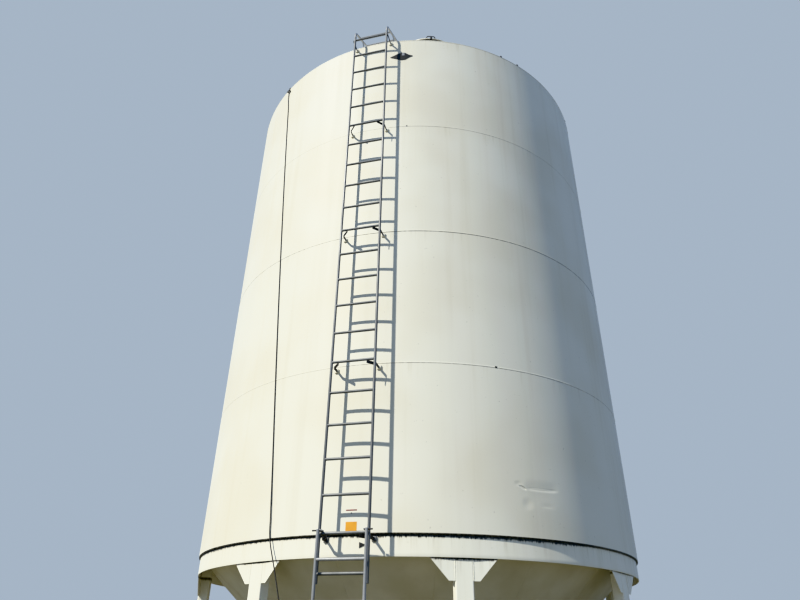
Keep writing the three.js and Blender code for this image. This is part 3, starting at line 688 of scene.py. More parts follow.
# %% Helpers: turned pieces
def pull(ring, profile, centre):
    """Extrudes the selected ring of points, at (radius, height), to each stop of a profile."""
    r, z = ring
    for next_r, next_z in profile:
        bpy.ops.mesh.extrude_edges_move(TRANSFORM_OT_translate={"value": (0, 0, next_z - z)})
        share = next_r / r
        bpy.ops.transform.resize(value=(share, share, 1),
                                 center_override=(centre.x, centre.y, next_z))
        r, z = next_r, next_z


def turned(name, profile, sides=256, centre=AXIS):
    """A ring of points that is pulled along a closed profile of (radius, height)."""
    r, z = profile[0]
    bpy.ops.mesh.primitive_circle_add(vertices=sides, radius=r, enter_editmode=True,
                                      location=(centre.x, centre.y, z))
    bpy.ops.mesh.select_all(action="SELECT")
    pull(profile[0], [*profile[1:], profile[0]], centre)
    bpy.ops.mesh.select_all(action="SELECT")
    bpy.ops.mesh.remove_doubles(threshold=0.00004)
    bpy.ops.mesh.normals_make_consistent(inside=False)
    return settle(name)


def disc(name, profile, sides=96, centre=AXIS):
    """As turned, for a full body, which is closed flat at the first and last stop."""
    r, z = profile[0]
    bpy.ops.mesh.primitive_circle_add(vertices=sides, radius=r, enter_editmode=True,
                                      fill_type="NGON", location=(centre.x, centre.y, z))
    bpy.ops.mesh.select_all(action="SELECT")
    bpy.ops.mesh.region_to_loop()
    pull(profile[0], profile[1:], centre)
    bpy.ops.mesh.edge_face_add()
    bpy.ops.mesh.select_all(action="SELECT")
    bpy.ops.mesh.normals_make_consistent(inside=False)
    return settle(name)


print("turning helpers ready")


# %% Helpers: bars, rods and eased copies of the solids
def bar(name, low, high, width, segments=2):
    """A bar between two opposite corners, with eased edges."""
    middle = [(a + b) / 2 for a, b in zip(low, high)]
    size = [abs(b - a) for a, b in zip(low, high)]
    bpy.ops.mesh.primitive_cube_add(size=1, location=middle, scale=size)
    return ease(settle(name), width, segments)


def rod(name, start, end, radius, sides=20, width=0.0008):
    """A round rod from one point to another, with eased ends."""
    start, end = Vector(start), Vector(end)
    along = end - start
    bpy.ops.mesh.primitive_cylinder_add(vertices=sides, radius=radius, depth=along.length)
    piece = settle(name)
    turn = along.to_track_quat("Z", "Y").to_matrix().to_4x4()
    piece.data.transform(Matrix.Translation((start + end) / 2) @ turn)
    return ease(piece, width)


def eased_copy(node, name, width, finish, slot):
    """A copy of a CAD node with its loose triangles joined and its edges eased."""
    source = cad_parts[node]
    piece = bpy.data.objects.new(name, source.data.copy())
    bpy.context.scene.collection.objects.link(piece)
    edit(piece)
    bpy.ops.mesh.customdata_custom_splitnormals_clear()
    bpy.ops.mesh.remove_doubles(threshold=0.00003)
    bpy.ops.mesh.dissolve_limited(angle_limit=math.radians(1))
    bpy.ops.object.mode_set(mode="OBJECT")
    ease(piece, width)
    return dress(piece, finish, slot, node)


print("bar and rod helpers ready")

# %% [markdown]
# A hex bolt is made once: a washer, a head with eased corners, and the end of its shank. Every
# group of bolts on the bin is a set of copies, turned to stand on its surface.

# %% The bolt
def make_bolt():
    """One bolt that stands on the ground plane and points up, 16.5 mm high."""
    washer = disc("washer", [(0.0155, 0), (0.0155, 0.0018), (0.0145, 0.0025)], 20, ORIGIN)
    bpy.ops.mesh.primitive_cylinder_add(vertices=6, radius=0.0125, depth=0.008,
                                        location=(0, 0, 0.0065))
    head = ease(settle("head"), 0.0012)
    shank = rod("shank", (0, 0, 0.009), (0, 0, 0.0165), 0.0065, 14)
    return join("bolt", [washer, head, shank])


BOLT = make_bolt()


def bolts(name, places, finish, slot, size):
    """Copies of the bolt at (point, outward direction) places, joined into one piece."""
    made = []
    for index, (point, outward) in enumerate(places):
        turn = Vector(outward).to_track_quat("Z", "Y").to_matrix().to_4x4()
        spin = Matrix.Rotation(index * 0.7, 4, "Z")
        change = Matrix.Translation(Vector(point)) @ turn @ spin @ Matrix.Scale(size, 4)
        made.append(copy_of(BOLT, f"{name}_{index}", change))
    return dress(join(name, made), finish, slot)


print("bolt faces", len(BOLT.data.polygons))

# %% [markdown]
# The wall is four rings of rolled sheet. Where one ring meets the next, the weld stands out as a
# small rounded bead that runs all round. Each ring is one circle of points that is pulled up
# along the sheet's outline, so its bead is part of it and can't come loose.

# %% Wall: seam bead and the upper three rings
SHEET_R = WALL_R - 0.0015
SHEET_T = 0.004
BEAD_HALF = 0.006
BEAD_DEPTH = WALL_R - SHEET_R


def bead(z):
    """Half round points that stand out of the sheet, from below a seam to above it."""
    turns = [math.pi * (i / 8 - 0.5) for i in range(9)]
    return [(SHEET_R + BEAD_DEPTH * math.cos(a), z + BEAD_HALF * math.sin(a)) for a in turns]


def ring_outline(number, steps=()):
    """The closed outline of a ring's sheet, with its seam bead at the top."""
    foot = WALL_FOOT + (number - 1) * RING_H + (BEAD_HALF if number > 1 else 0)
    head = WALL_FOOT + number * RING_H
    middle = head - BEAD_HALF - 0.02
    outline = [(SHEET_R, foot), (SHEET_R, foot + 0.02)]
    outline += [(SHEET_R, z) for z in steps] + [(SHEET_R, middle)]
    if number < 4:
        outline += bead(head)
        top = head + BEAD_HALF
    else:
        outline += [(SHEET_R, head)]
        top = head
    return outline + [(SHEET_R - SHEET_T, top), (SHEET_R - SHEET_T, foot)]


for number in (2, 3, 4):
    ring = turned(f"wall_sheet_{number}", ring_outline(number))
    dress(ring, WALL_PAINT, "wall_paint", f"wall_ring_{number}")

# %% [markdown]
# Something has knocked the lowest ring, right of the ladder: two creases run level, a short one
# under a long one, with a pit at their left ends. Sheet metal takes a dent as a sharp crease with
# wide soft slopes. Proportional editing makes only round dents, so the ring gets extra rows of
# points there, and the points are then moved inwards by a rule that is steep below each crease
# and gentle above it.

# %% Wall: how deep the dent is
# Creases: from and to in degrees, height, bend up at the ends, depth, reach above and below.
CREASES = ((37.4, 44.1, 2.870, 0.0003, 0.0012, 0.018, 0.026),
           (36.8, 44.1, 2.870, 0.0003, 0.0024, 0.100, 0.034),
           (40.2, 42.8, 2.727, 0, 0.0010, 0.050, 0.022))
BEND_MIDDLE = 39
END_LEFT, END_RIGHT, SHARPNESS = 1.6, 2.2, 1.4
# Pits: angle, height, depth, half the width, half the height, slant.
PITS = ((35.70, 2.869, 0.0130, 0.040, 0.013, -0.475),
        (34.7, 2.900, 0.0022, 0.050, 0.034, 0),
        (36.6, 2.733, 0.0027, 0.070, 0.066, 0),
        (40.0, 2.82, 0.0022, 0.26, 0.15, 0))


def soft(x):
    """0 at 0, 1 at 1, with level ends."""
    x = min(max(x, 0.0), 1.0)
    return x * x * (3 - 2 * x)


def crease(az, z, az_low, az_high, middle_z, bend, depth, above, below):
    """How deep one level crease presses the sheet in, in metres."""
    crease_z = middle_z + bend * (az - BEND_MIDDLE) ** 2
    ends = soft((az - az_low) / END_LEFT + 0.5) * soft((az_high - az) / END_RIGHT + 0.5)
    across = (z - crease_z) / above if z > crease_z else (crease_z - z) / below
    return depth * ends * (1 - soft(across)) ** SHARPNESS


def pit(az, z, pit_az, pit_z, depth, wide, high, slant):
    """How deep a round pit presses the sheet in, in metres."""
    x = math.radians(az - pit_az) * SHEET_R
    y = z - pit_z - slant * x
    away = math.hypot(x / wide, y / high)
    return depth * (1 - soft(away))


def dent(az, z):
    """How deep all the creases and pits together press the sheet in, in metres."""
    return sum([crease(az, z, *row) for row in CREASES] + [pit(az, z, *row) for row in PITS])


print("depth in the pit", round(dent(*PITS[0][:2]) * 1000, 1), "mm")

# %% Wall: the dented lowest ring
DENT_AZ = (31.5, 48.0)
DENT_Z = (2.62, 3.02)
ROW_STEP, ROWS = 0.0125, 33


def near_dent(az, z, more_az=0, more_z=0):
    """Whether a place is in the dented part of the ring, or in a margin round it."""
    return (DENT_AZ[0] - more_az < az < DENT_AZ[1] + more_az
            and DENT_Z[0] - more_z < z < DENT_Z[1] + more_z)


def round_place(point):
    """A point's angle from the ladder, and whether it is on the outside of the sheet."""
    away = point - AXIS
    az = math.degrees(math.atan2(away.x, -away.y))
    return az, math.hypot(away.x, away.y) > SHEET_R - SHEET_T / 2


ring = turned("wall_sheet_1", ring_outline(1, [DENT_Z[0] + ROW_STEP * i for i in range(ROWS)]))
edit(ring, "DESELECT")
bpy.ops.mesh.select_mode(type="FACE")
bpy.ops.object.mode_set(mode="OBJECT")
for face in ring.data.polygons:
    az, outside = round_place(face.center)
    face.select = outside and near_dent(az, face.center.z)
bpy.ops.object.mode_set(mode="EDIT")
bpy.ops.mesh.subdivide(number_cuts=5)
bpy.ops.object.mode_set(mode="OBJECT")
moved = 0
for vertex in ring.data.vertices:
    z = vertex.co.z
    az, outside = round_place(vertex.co)
    if outside and near_dent(az, z, 1, 0.02):
        vertex.co = spot(az, SHEET_R - dent(az, z), z)
        moved += 1
settle("wall_sheet_1", 50)
dress(ring, WALL_PAINT, "wall_paint", "wall_ring_1")
print("dented points", moved, "faces", len(ring.data.polygons))

# %% [markdown]
# The wall stands on a flat ring with rounded edges, and a band of thicker plate hangs under it,
# set back a little. Both are turned from their outlines, and so is the cone. The outlines hold
# the rounded corners, so no bevel has to follow. The cone is rolled from gores, so welds run down
# it like the lines on an umbrella. Each weld is a thin tube, half sunk in.

# %% Rim and band
RIM_R = WALL_R - 0.002
RIM_W = 0.058
RIM_EDGE, RIM_ROUND = 0.0022, 0.0006
RIM_FOOT, RIM_HEAD = (corner.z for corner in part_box("hopper_rim"))
rim = turned("wall_foot_rim", [
    (RIM_R - RIM_W, RIM_FOOT), (RIM_R - RIM_EDGE, RIM_FOOT),
    (RIM_R - RIM_ROUND, RIM_FOOT + 0.0007), (RIM_R, RIM_FOOT + RIM_EDGE),
    (RIM_R, RIM_HEAD - RIM_EDGE), (RIM_R - RIM_ROUND, RIM_HEAD - 0.0007),
    (RIM_R - RIM_EDGE, RIM_HEAD), (RIM_R - RIM_W, RIM_HEAD)])
dress(rim, BAND_PAINT, "hopper_paint", "hopper_rim")

BAND_T = 0.008
band = turned("band_plate", [
    (BAND_R - 0.0015, BAND_FOOT), (BAND_R - 0.0004, BAND_FOOT + 0.0004),
    (BAND_R, BAND_FOOT + 0.0015), (BAND_R, BAND_FOOT + 0.03), (BAND_R, BAND_HEAD - 0.02),
    (BAND_R, BAND_HEAD), (BAND_R - BAND_T, BAND_HEAD), (BAND_R - BAND_T, BAND_FOOT + 0.001),
    (BAND_R - BAND_T + 0.001, BAND_FOOT)])
dress(band, BAND_PAINT, "band_paint", "hopper_band")
print("rim and band faces", [len(piece.data.polygons) for piece in (rim, band)])

# %% Cone
CONE_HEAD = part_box("hopper_cone")[1].z
CONE_SLOPE = math.radians(42)
CONE_TAN = math.tan(CONE_SLOPE)
CONE_T = 0.006
CONE_R = BAND_R - BAND_T - GAP
OUTLET_R = 0.230
SEAM_R = 0.003
GORES = 16


def on_cone(r):
    """Height of the cone's underside at a distance from the axis."""
    return CONE_HEAD - (CONE_R - r) * CONE_TAN


def slope_welds(name, azimuths, ends, sink):
    """Weld beads down a cone, half sunk into it, from one (radius, height) to another."""
    (r0, z0), (r1, z1) = ends
    welds = []
    for az in azimuths:
        start, end = spot(az, r0, z0 + sink), spot(az, r1, z1 + sink)
        line = [start.lerp(end, i / 24) for i in range(25)]
        welds.append(tube(f"{name}_{len(welds)}", line, SEAM_R, 4))
    return join(name, welds)


steps = [CONE_R + (OUTLET_R - CONE_R) * i / 12 for i in range(13)]
outside = [(r, on_cone(r)) for r in steps]
inside = [(r - CONE_T / math.sin(CONE_SLOPE), z) for r, z in reversed(outside)]
cone = turned("cone_shell", outside + inside)
weld_ends = [(r, on_cone(r)) for r in (CONE_R - 0.03, OUTLET_R + 0.01)]
weld_azimuths = [17.5 + 360 / GORES * i for i in range(GORES)]
cone_welds = slope_welds("cone_welds", weld_azimuths, weld_ends, SEAM_R / 2)
cone = join("cone_sheet", [cone, cone_welds])
dress(cone, HOPPER_PAINT, "hopper_paint", "hopper_cone")
print("cone faces", len(cone.data.polygons))

# %% [markdown]
# Below the cone, a short neck carries the slide gate that lets the grain out. Both are below the
# picture's edge. The neck is turned again, with its weld in the outline. The gate keeps its
# solids' shapes, with eased edges, and gets a row of bolts on each side.

# %% Outlet neck and slide gate
GATE_BOLTS_Y, GATE_BOLT_DOWN = (-0.2, 0, 0.2), 0.0215
neck_foot, neck_head = (corner.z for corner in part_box("outlet_neck"))
neck = turned("neck_ring", [
    (OUTLET_R - 0.002, neck_foot), (OUTLET_R, neck_foot + 0.002), (OUTLET_R, neck_head - 0.007),
    (OUTLET_R + 0.002, neck_head - 0.006), (OUTLET_R + 0.004, neck_head - 0.001),
    (OUTLET_R + 0.001, neck_head), (OUTLET_R - 0.009, neck_head),
    (OUTLET_R - 0.010, neck_foot)], 96)
dress(neck, HOPPER_PAINT, "hopper_paint", "outlet_neck")
eased_copy("slide_gate_frame", "gate_frame", 0.0012, SHADED_ZINC, "galvanised")
eased_copy("slide_gate_plate", "gate_plate", 0.0012, SHADED_ZINC, "galvanised")
gate_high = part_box("slide_gate_frame")[1]
places = []
for side in (-1, 1):
    for along in GATE_BOLTS_Y:
        point = Vector((side * gate_high.x, AXIS_Y + along, gate_high.z - GATE_BOLT_DOWN))
        places.append((point, (side, 0, 0)))
bolts("gate_bolts", places, SHADED_ZINC, "galvanised", 0.8)
print("gate bolts", len(places))

# %% [markdown]
# Each leg is a rectangular tube with rounded corners. A wing plate each side spreads the load
# into the band, and a foot plate with four anchors spreads it into the ground. One leg is made in
# front of the axis, and its copies are turned to eight places. The finish reads places in space,
# so the weather marks still differ from leg to leg.

# %% Legs: plates from an outline, and weld beads
def plate(name, corners, y, thickness):
    """A flat plate: its corners in X and Z, extruded back along Y, and moved to its own y."""
    bpy.ops.mesh.primitive_circle_add(vertices=len(corners), radius=1, fill_type="NGON")
    piece = bpy.context.object
    for vertex, (x, z) in zip(piece.data.vertices, corners):
        vertex.co = (x, 0, z)
    bpy.ops.object.mode_set(mode="EDIT")
    bpy.ops.mesh.select_all(action="SELECT")
    bpy.ops.mesh.extrude_region_move(TRANSFORM_OT_translate={"value": (0, thickness, 0)})
    bpy.ops.mesh.select_all(action="SELECT")
    bpy.ops.mesh.normals_make_consistent(inside=False)
    piece = ease(settle(name), 0.001)
    piece.data.transform(Matrix.Translation((0, y, 0)))
    return piece


WELD_R, WELD_STEP = 0.0026, 0.006
RIPPLE, RIPPLE_TURNS = 0.12, 900


def weld(start, end):
    """A weld bead with a rippled surface, from one point to another."""
    start, end = Vector(start), Vector(end)
    count = max(3, round((end - start).length / WELD_STEP))
    line = [start.lerp(end, i / count) for i in range(count + 1)]
    piece = tube("weld", line, WELD_R, 4)
    along = (end - start).normalized()
    for vertex in piece.data.vertices:
        t = (vertex.co - start).dot(along)
        middle = start + along * t
        ripple = 1 + RIPPLE * math.sin(t * RIPPLE_TURNS)
        vertex.co = middle + (vertex.co - middle) * ripple
    return piece


print("plate and weld helpers ready")

# %% Legs: the tube
LEG_W, LEG_D = 0.152, 0.102
WING_TOP, WING_FOOT_W, WING_H, WING_T = 0.285, 0.1285, 0.172, 0.008
LEG_FRONT = math.sqrt(BAND_R ** 2 - WING_TOP ** 2)
LEG_Y = AXIS_Y - LEG_FRONT
LEG_MIDDLE = LEG_Y + LEG_D / 2
WING_HEAD = BAND_FOOT - GAP
WING_FOOT = WING_HEAD - WING_H
FOOT_T = 0.012
UNCUT_H, CORNER_R = 2.5, 0.010


def leg_tube():
    """A tube with rounded corners, cut off along the slope of the cone."""
    bpy.ops.mesh.primitive_cube_add(size=1, location=(0, LEG_MIDDLE, UNCUT_H / 2),
                                    scale=(LEG_W, LEG_D, UNCUT_H - 2 * FOOT_T))
    piece = settle("tube")
    edit(piece, "DESELECT")
    bpy.ops.mesh.select_mode(type="EDGE")
    bpy.ops.object.mode_set(mode="OBJECT")
    points = piece.data.vertices
    for edge in piece.data.edges:
        a, b = (points[i].co for i in edge.vertices)
        edge.select = abs(a.z - b.z) > 1
    bpy.ops.object.mode_set(mode="EDIT")
    bpy.ops.mesh.bevel(offset=CORNER_R, segments=5)
    bpy.ops.mesh.select_all(action="SELECT")
    front = Vector((0, LEG_Y, on_cone(LEG_FRONT) - GAP))
    bpy.ops.mesh.bisect(plane_co=front, plane_no=(0, CONE_TAN, 1), use_fill=True, clear_outer=True)
    for height in (0.4, 0.9, 1.4, 1.9):
        bpy.ops.mesh.select_all(action="SELECT")
        bpy.ops.mesh.bisect(plane_co=(0, 0, height), plane_no=(0, 0, 1))
    return settle("tube")


print("leg", LEG_W, "by", LEG_D, "m, front", round(LEG_Y, 4))

# %% Legs: one leg, and its eight places
LEGS = 8
WING_BACK = 0.0015
FOOT_X, FOOT_Y = 0.13, 0.11
ANCHOR_X, ANCHOR_Y = 0.105, 0.085


def make_leg():
    """The front leg: tube, two wing plates with their welds, foot plate and its weld."""
    pieces = [leg_tube()]
    for side in (-1, 1):
        x = side * LEG_W / 2
        corners = [(x, WING_HEAD), (side * WING_TOP, WING_HEAD),
                   (side * WING_FOOT_W, WING_FOOT), (x, WING_FOOT)]
        pieces.append(plate("wing", corners, LEG_Y + WING_BACK, WING_T - WING_BACK))
        for y in (LEG_Y + 0.001, LEG_Y + WING_T + 0.001):
            pieces.append(weld((x, y, WING_FOOT + 0.002), (x, y, WING_HEAD - 0.004)))
    pieces.append(bar("foot", (-FOOT_X, LEG_MIDDLE - FOOT_Y, 0),
                      (FOOT_X, LEG_MIDDLE + FOOT_Y, FOOT_T), 0.0025))
    pieces.append(bar("foot_weld", (-LEG_W / 2 - 0.006, LEG_Y - 0.006, FOOT_T - 0.002),
                      (LEG_W / 2 + 0.006, LEG_Y + LEG_D + 0.006, FOOT_T + 0.007), 0.0055, 3))
    return join("leg_post", pieces)


front_leg = make_leg()
anchors = [(Vector((x, LEG_MIDDLE + y, FOOT_T)), (0, 0, 1))
           for x in (-ANCHOR_X, ANCHOR_X) for y in (-ANCHOR_Y, ANCHOR_Y)]
front_anchors = bolts("anchors", anchors, SHADED_ZINC, "galvanised", 1.1)
for number in range(1, LEGS + 1):
    turn = round_axis((number - 0.5) * 360 / LEGS)
    dress(copy_of(front_leg, f"leg_post_{number}", turn), LEG_PAINT, "leg_paint", f"leg_{number}")
    dress(copy_of(front_anchors, f"leg_anchors_{number}", turn), SHADED_ZINC, "galvanised")
for piece in (front_leg, front_anchors):
    bpy.data.objects.remove(piece)

# %% [markdown]
# The roof is a cone of welded sheets, turned like the rings below it. The manhole's round neck
# stands square to the slope, so its hole isn't in line with the rows of points. A Boolean with a
# plain cylinder cuts it cleanly.

# %% Roof
steps = [WALL_R + (FILL_R - WALL_R) * (i / 14) ** 1.2 for i in range(15)]
top_side = [(r, on_roof(r)) for r in steps]
roof_outline = [(WALL_R - 0.0008, ROOF_EDGE_Z), (WALL_R, ROOF_EDGE_Z + 0.0015),
                (WALL_R, ROOF_FOOT - 0.002), (WALL_R - 0.001, ROOF_FOOT), *top_side[1:],
                (FILL_R, FILL_Z - 0.007), (WALL_R - 0.06, ROOF_EDGE_Z + 0.0346)]
roof = turned("roof_sheet", roof_outline)
print("roof faces before the hole", len(roof.data.polygons))

# %% Roof: the hole and the welds
MANHOLE_AZ, MANHOLE_R, MANHOLE_IN = 18.1, 0.255, 0.400
on_manhole = (round_axis(MANHOLE_AZ)
              @ Matrix.Translation((0, AXIS_Y - (WALL_R - MANHOLE_IN),
                                    ROOF_FOOT + MANHOLE_IN * ROOF_TAN))
              @ Matrix.Rotation(ROOF_SLOPE, 4, "X"))
bpy.ops.mesh.primitive_cylinder_add(vertices=96, radius=MANHOLE_R + GAP, depth=0.4)
cutter = settle("cutter")
cutter.data.transform(on_manhole)
take(roof)
hole = roof.modifiers.new("hole", "BOOLEAN")
hole.operation = "DIFFERENCE"
hole.solver = "EXACT"
hole.object = cutter
bpy.ops.object.modifier_apply(modifier="hole")
bpy.data.objects.remove(cutter)
weld_azimuths = [6.25 + 360 / GORES * i for i in range(GORES)]
weld_ends = (top_side[1], (FILL_R + 0.004, FILL_Z))
roof_welds = slope_welds("roof_welds", weld_azimuths, weld_ends, -SEAM_R / 2)
roof = join("roof_sheet", [roof, roof_welds])
take(roof)
bpy.ops.object.shade_smooth_by_angle(angle=math.radians(30))
roof.select_set(False)
dress(roof, ROOF_PAINT, "roof_paint", "roof_cone")
print("roof faces", len(roof.data.polygons))

# %% [markdown]
# Grain comes in through a neck at the roof's top. A low cap covers it, with a lever to lift it by
# the rope. Neck and cap are turned too. The cap is pressed in steps, which its outline follows.

# %% Fill neck, cap and lever
neck_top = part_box("fill_collar")[1].z
fill_neck = turned("fill_neck", [
    (FILL_R, FILL_Z - 0.04), (FILL_R, FILL_Z + 0.001), (FILL_R, neck_top - 0.045),
    (FILL_R + 0.0012, neck_top - 0.042), (FILL_R + 0.0012, neck_top - 0.036),
    (FILL_R, neck_top - 0.033), (FILL_R, neck_top - 0.001), (FILL_R - 0.001, neck_top),
    (FILL_R - 0.005, neck_top), (FILL_R - 0.006, neck_top - 0.001),
    (FILL_R - 0.006, FILL_Z - 0.04)], 96)
fill_weld = turned("fill_weld", [
    (FILL_R - 0.001, FILL_Z + 0.006), (FILL_R + 0.003, FILL_Z + 0.0035),
    (FILL_R + 0.006, FILL_Z - 0.002), (FILL_R - 0.001, FILL_Z - 0.003)], 96)
fill_neck = join("fill_neck", [fill_neck, fill_weld])
dress(fill_neck, ROOF_PAINT, "roof_paint", "fill_collar")

cap_low, cap_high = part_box("fill_lid")
CAP_R = (cap_high.x - cap_low.x) / 2
under = neck_top + GAP
cap = disc("fill_cap", [
    (FILL_R + 0.003, under), (FILL_R + 0.003, cap_low.z), (CAP_R - 0.001, cap_low.z),
    (CAP_R, cap_low.z + 0.001), (CAP_R, under + 0.006), (CAP_R - 0.002, under + 0.0095),
    (CAP_R - 0.012, under + 0.0118), (CAP_R - 0.06, under + 0.0205), (0.2, under + 0.034),
    (0.1, under + 0.052), (0.03, under + 0.0645), (0.008, cap_high.z)])
dress(cap, ROOF_PAINT, "roof_paint", "fill_lid")
eased_copy("lid_lever", "lever_bar", 0.0015, SHADED_ZINC, "galvanised")
places = [(spot(ROPE_AZ, r, LEVER_TIP_Z - 0.0023 + (LEVER_END - r) * LEVER_FALL), (0, 0, 1))
          for r in (0.16, 0.30)]
bolts("lever_bolts", places, SHADED_ZINC, "galvanised", 0.62)
print("cap faces", len(cap.data.polygons))

# %% [markdown]
# The manhole has the same parts on a smaller scale, with a rubber ring under its lid. They are
# made lying at the origin, where their sizes are plain, and one matrix lays them on the slope.

# %% Manhole neck, lid and ring
LID_R = 0.275
neck = turned("manhole_neck", [
    (MANHOLE_R, -0.045), (MANHOLE_R, 0.088), (MANHOLE_R + 0.003, 0.0905),
    (MANHOLE_R + 0.003, 0.0935), (MANHOLE_R, 0.095), (MANHOLE_R - 0.006, 0.095),
    (MANHOLE_R - 0.006, -0.045)], 96, ORIGIN)
lid = disc("manhole_cap", [
    (LID_R - 0.004, 0.0962), (LID_R - 0.0005, 0.0965), (LID_R, 0.098), (LID_R, 0.1035),
    (LID_R - 0.0012, 0.1053), (0.24, 0.1075), (0.12, 0.1125), (0.02, 0.1151)], 96, ORIGIN)
seal = turned("manhole_seal", [
    (0.258, 0.0700), (0.2685, 0.0720), (0.2700, 0.0780), (0.2700, 0.0920), (0.2680, 0.0958),
    (0.258, 0.0962)], 96, ORIGIN)
for piece in (neck, lid, seal):
    piece.data.transform(on_manhole)
dress(neck, ROOF_PAINT, "roof_paint", "manhole_collar")
dress(lid, ROOF_PAINT, "roof_paint", "manhole_lid")
dress(seal, BLACK_PLATE, "dark_plate")
print("manhole faces", [len(piece.data.polygons) for piece in (neck, lid, seal)])

# %% Manhole handle, hinge and latch
HANDLE_Y, HANDLE_R = -0.21, 0.006
HANDLE_SIDE = ((0.055, 0.108), (0.055, 0.140), (0.048, 0.150), (0.036, 0.154))
handle_line = [Vector((-x, HANDLE_Y, z)) for x, z in HANDLE_SIDE]
handle_line += [Vector((x, HANDLE_Y, z)) for x, z in reversed(HANDLE_SIDE)]
handle = tube("manhole_handle", smooth_line(handle_line, 0.006), HANDLE_R)
hinge = [bar("leaf", (-0.06, 0.225, 0.1085), (0.06, 0.290, 0.1125), 0.001),
         rod("pin", (-0.065, 0.288, 0.105), (0.065, 0.288, 0.105), 0.007),
         bar("ear", (-0.045, 0.252, 0.030), (-0.033, 0.296, 0.1065), 0.001),
         bar("ear", (0.033, 0.252, 0.030), (0.045, 0.296, 0.1065), 0.001)]
latch = [bar("latch", (-0.012, -0.290, 0.050), (0.012, -0.284, 0.116), 0.0015),
         bar("latch_foot", (-0.012, -0.286, 0.050), (0.012, -0.253, 0.056), 0.0015),
         bar("latch_head", (-0.012, -0.288, 0.1095), (0.012, -0.235, 0.116), 0.0015)]
fittings = join("manhole_fittings", [handle, *hinge, *latch])
fittings.data.transform(on_manhole)
dress(fittings, SHADED_DARK_STEEL, "strap_steel")
print("manhole fittings", len(fittings.data.polygons))

# %% [markdown]
# The side ladder is made of pipe: two upright rails, with rungs of the same pipe between them and
# a weld round each rung's end. It comes in four lengths, joined by sleeves inside the pipes. A
# weld starts as a thin torus, whose points are then bent to lie on the round rail.

# %% Side ladder
RAIL_X, PIPE_R = 0.2125, 0.01335
RAIL_R = WALL_R + 0.137
RUNG_STEP = 0.3048
TOP_RUNG_Z = 8.535
RAIL_Y = AXIS_Y - RAIL_R
RUNG_WELD_R, RUNG_WELD_AT, RUNG_WELD_W, RUNG_WELD_BEND = 0.0028, 0.92, 0.82, 0.75


def saddle_weld(x, y, z, side):
    """A bead round a rung's end, bent to lie on the round rail, and no wider than the rail."""
    place = (x - side * PIPE_R * RUNG_WELD_AT, y, z)
    bpy.ops.mesh.primitive_torus_add(major_radius=PIPE_R, minor_radius=RUNG_WELD_R,
                                     major_segments=18, minor_segments=5, location=place,
                                     rotation=(0, math.pi / 2, 0))
    piece = settle("weld")
    for vertex in piece.data.vertices:
        vertex.co.y = y + (vertex.co.y - y) * RUNG_WELD_W
        away = min(abs(vertex.co.y - y) / PIPE_R, 1.0)
        vertex.co.x += side * PIPE_R * (1 - math.sqrt(1 - away * away)) * RUNG_WELD_BEND
    return piece


def rung(z, y, half):
    """A rung between two rails, with a weld at each end."""
    bpy.ops.mesh.primitive_cylinder_add(vertices=20, radius=PIPE_R - 0.0004, depth=2 * half,
                                        location=(0, y, z), rotation=(0, math.pi / 2, 0))
    return [settle("rung")] + [saddle_weld(side * half, y, z, side) for side in (-1, 1)]


ladder = []
for number in range(1, 5):
    foot, head = (corner.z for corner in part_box(f"ladder_section_{number}"))
    pieces = [rod("rail", (side * RAIL_X, RAIL_Y, foot), (side * RAIL_X, RAIL_Y, head), PIPE_R)
              for side in (-1, 1)]
    z = TOP_RUNG_Z
    while z > foot:
        if z < head:
            pieces += rung(z, RAIL_Y, RAIL_X)
        z -= RUNG_STEP
    ladder.append(join(f"side_ladder_{number}", pieces))
    dress(ladder[-1], SHADED_ZINC, "galvanised", f"ladder_section_{number}")
print("side ladder faces", [len(section.data.polygons) for section in ladder])

# %% [markdown]
# At the eave the rails bend over and lie along the roof, on short feet of flat bar. A bent pipe
# is a tube along a line with an arc in it. The roof curves away under each foot, so the foot's
# length is found by going down from the rail, a millimetre at a time, until the roof is met.

# %% Roof ladder: the bend and its feet
BEND_R, BEND_Z, ROOF_LADDER_SLOPE = 0.080, 8.640, math.radians(33)
BEND = math.pi / 2 - ROOF_LADDER_SLOPE
LADDER_REACH = 2.32
FOOT_PLACES = (0.300, 1.150, 2.000)
FOOT_LONGEST = 0.34
upslope = Vector((0, math.sin(BEND), math.cos(BEND)))
off_slope = upslope.cross(Vector((1, 0, 0))) * -1


def on_bend(angle):
    """The middle of the bent pipe at an angle from the upright, for a rail at X 0."""
    return Vector((0, AXIS_Y - (RAIL_R - BEND_R + BEND_R * math.cos(angle)),
                   BEND_Z + BEND_R * math.sin(angle)))


def roof_foot(top, x):
    """A flat bar from a rail down to the roof."""
    length = 0.0
    while length < FOOT_LONGEST:
        under = top - off_slope * length
        if under.z < on_roof(math.hypot(RAIL_X, AXIS_Y - under.y)) + 0.0015:
            break
        length += 0.001
    foot = bar("foot", (-0.003, -0.020, -length), (0.003, 0.020, 0), 0.0008)
    lean = Matrix((Vector((1, 0, 0)), upslope, off_slope)).transposed().to_4x4()
    foot.data.transform(Matrix.Translation(top + x) @ lean)
    return foot


bend_end = on_bend(BEND)
print("the bend ends at", [round(v, 4) for v in bend_end])

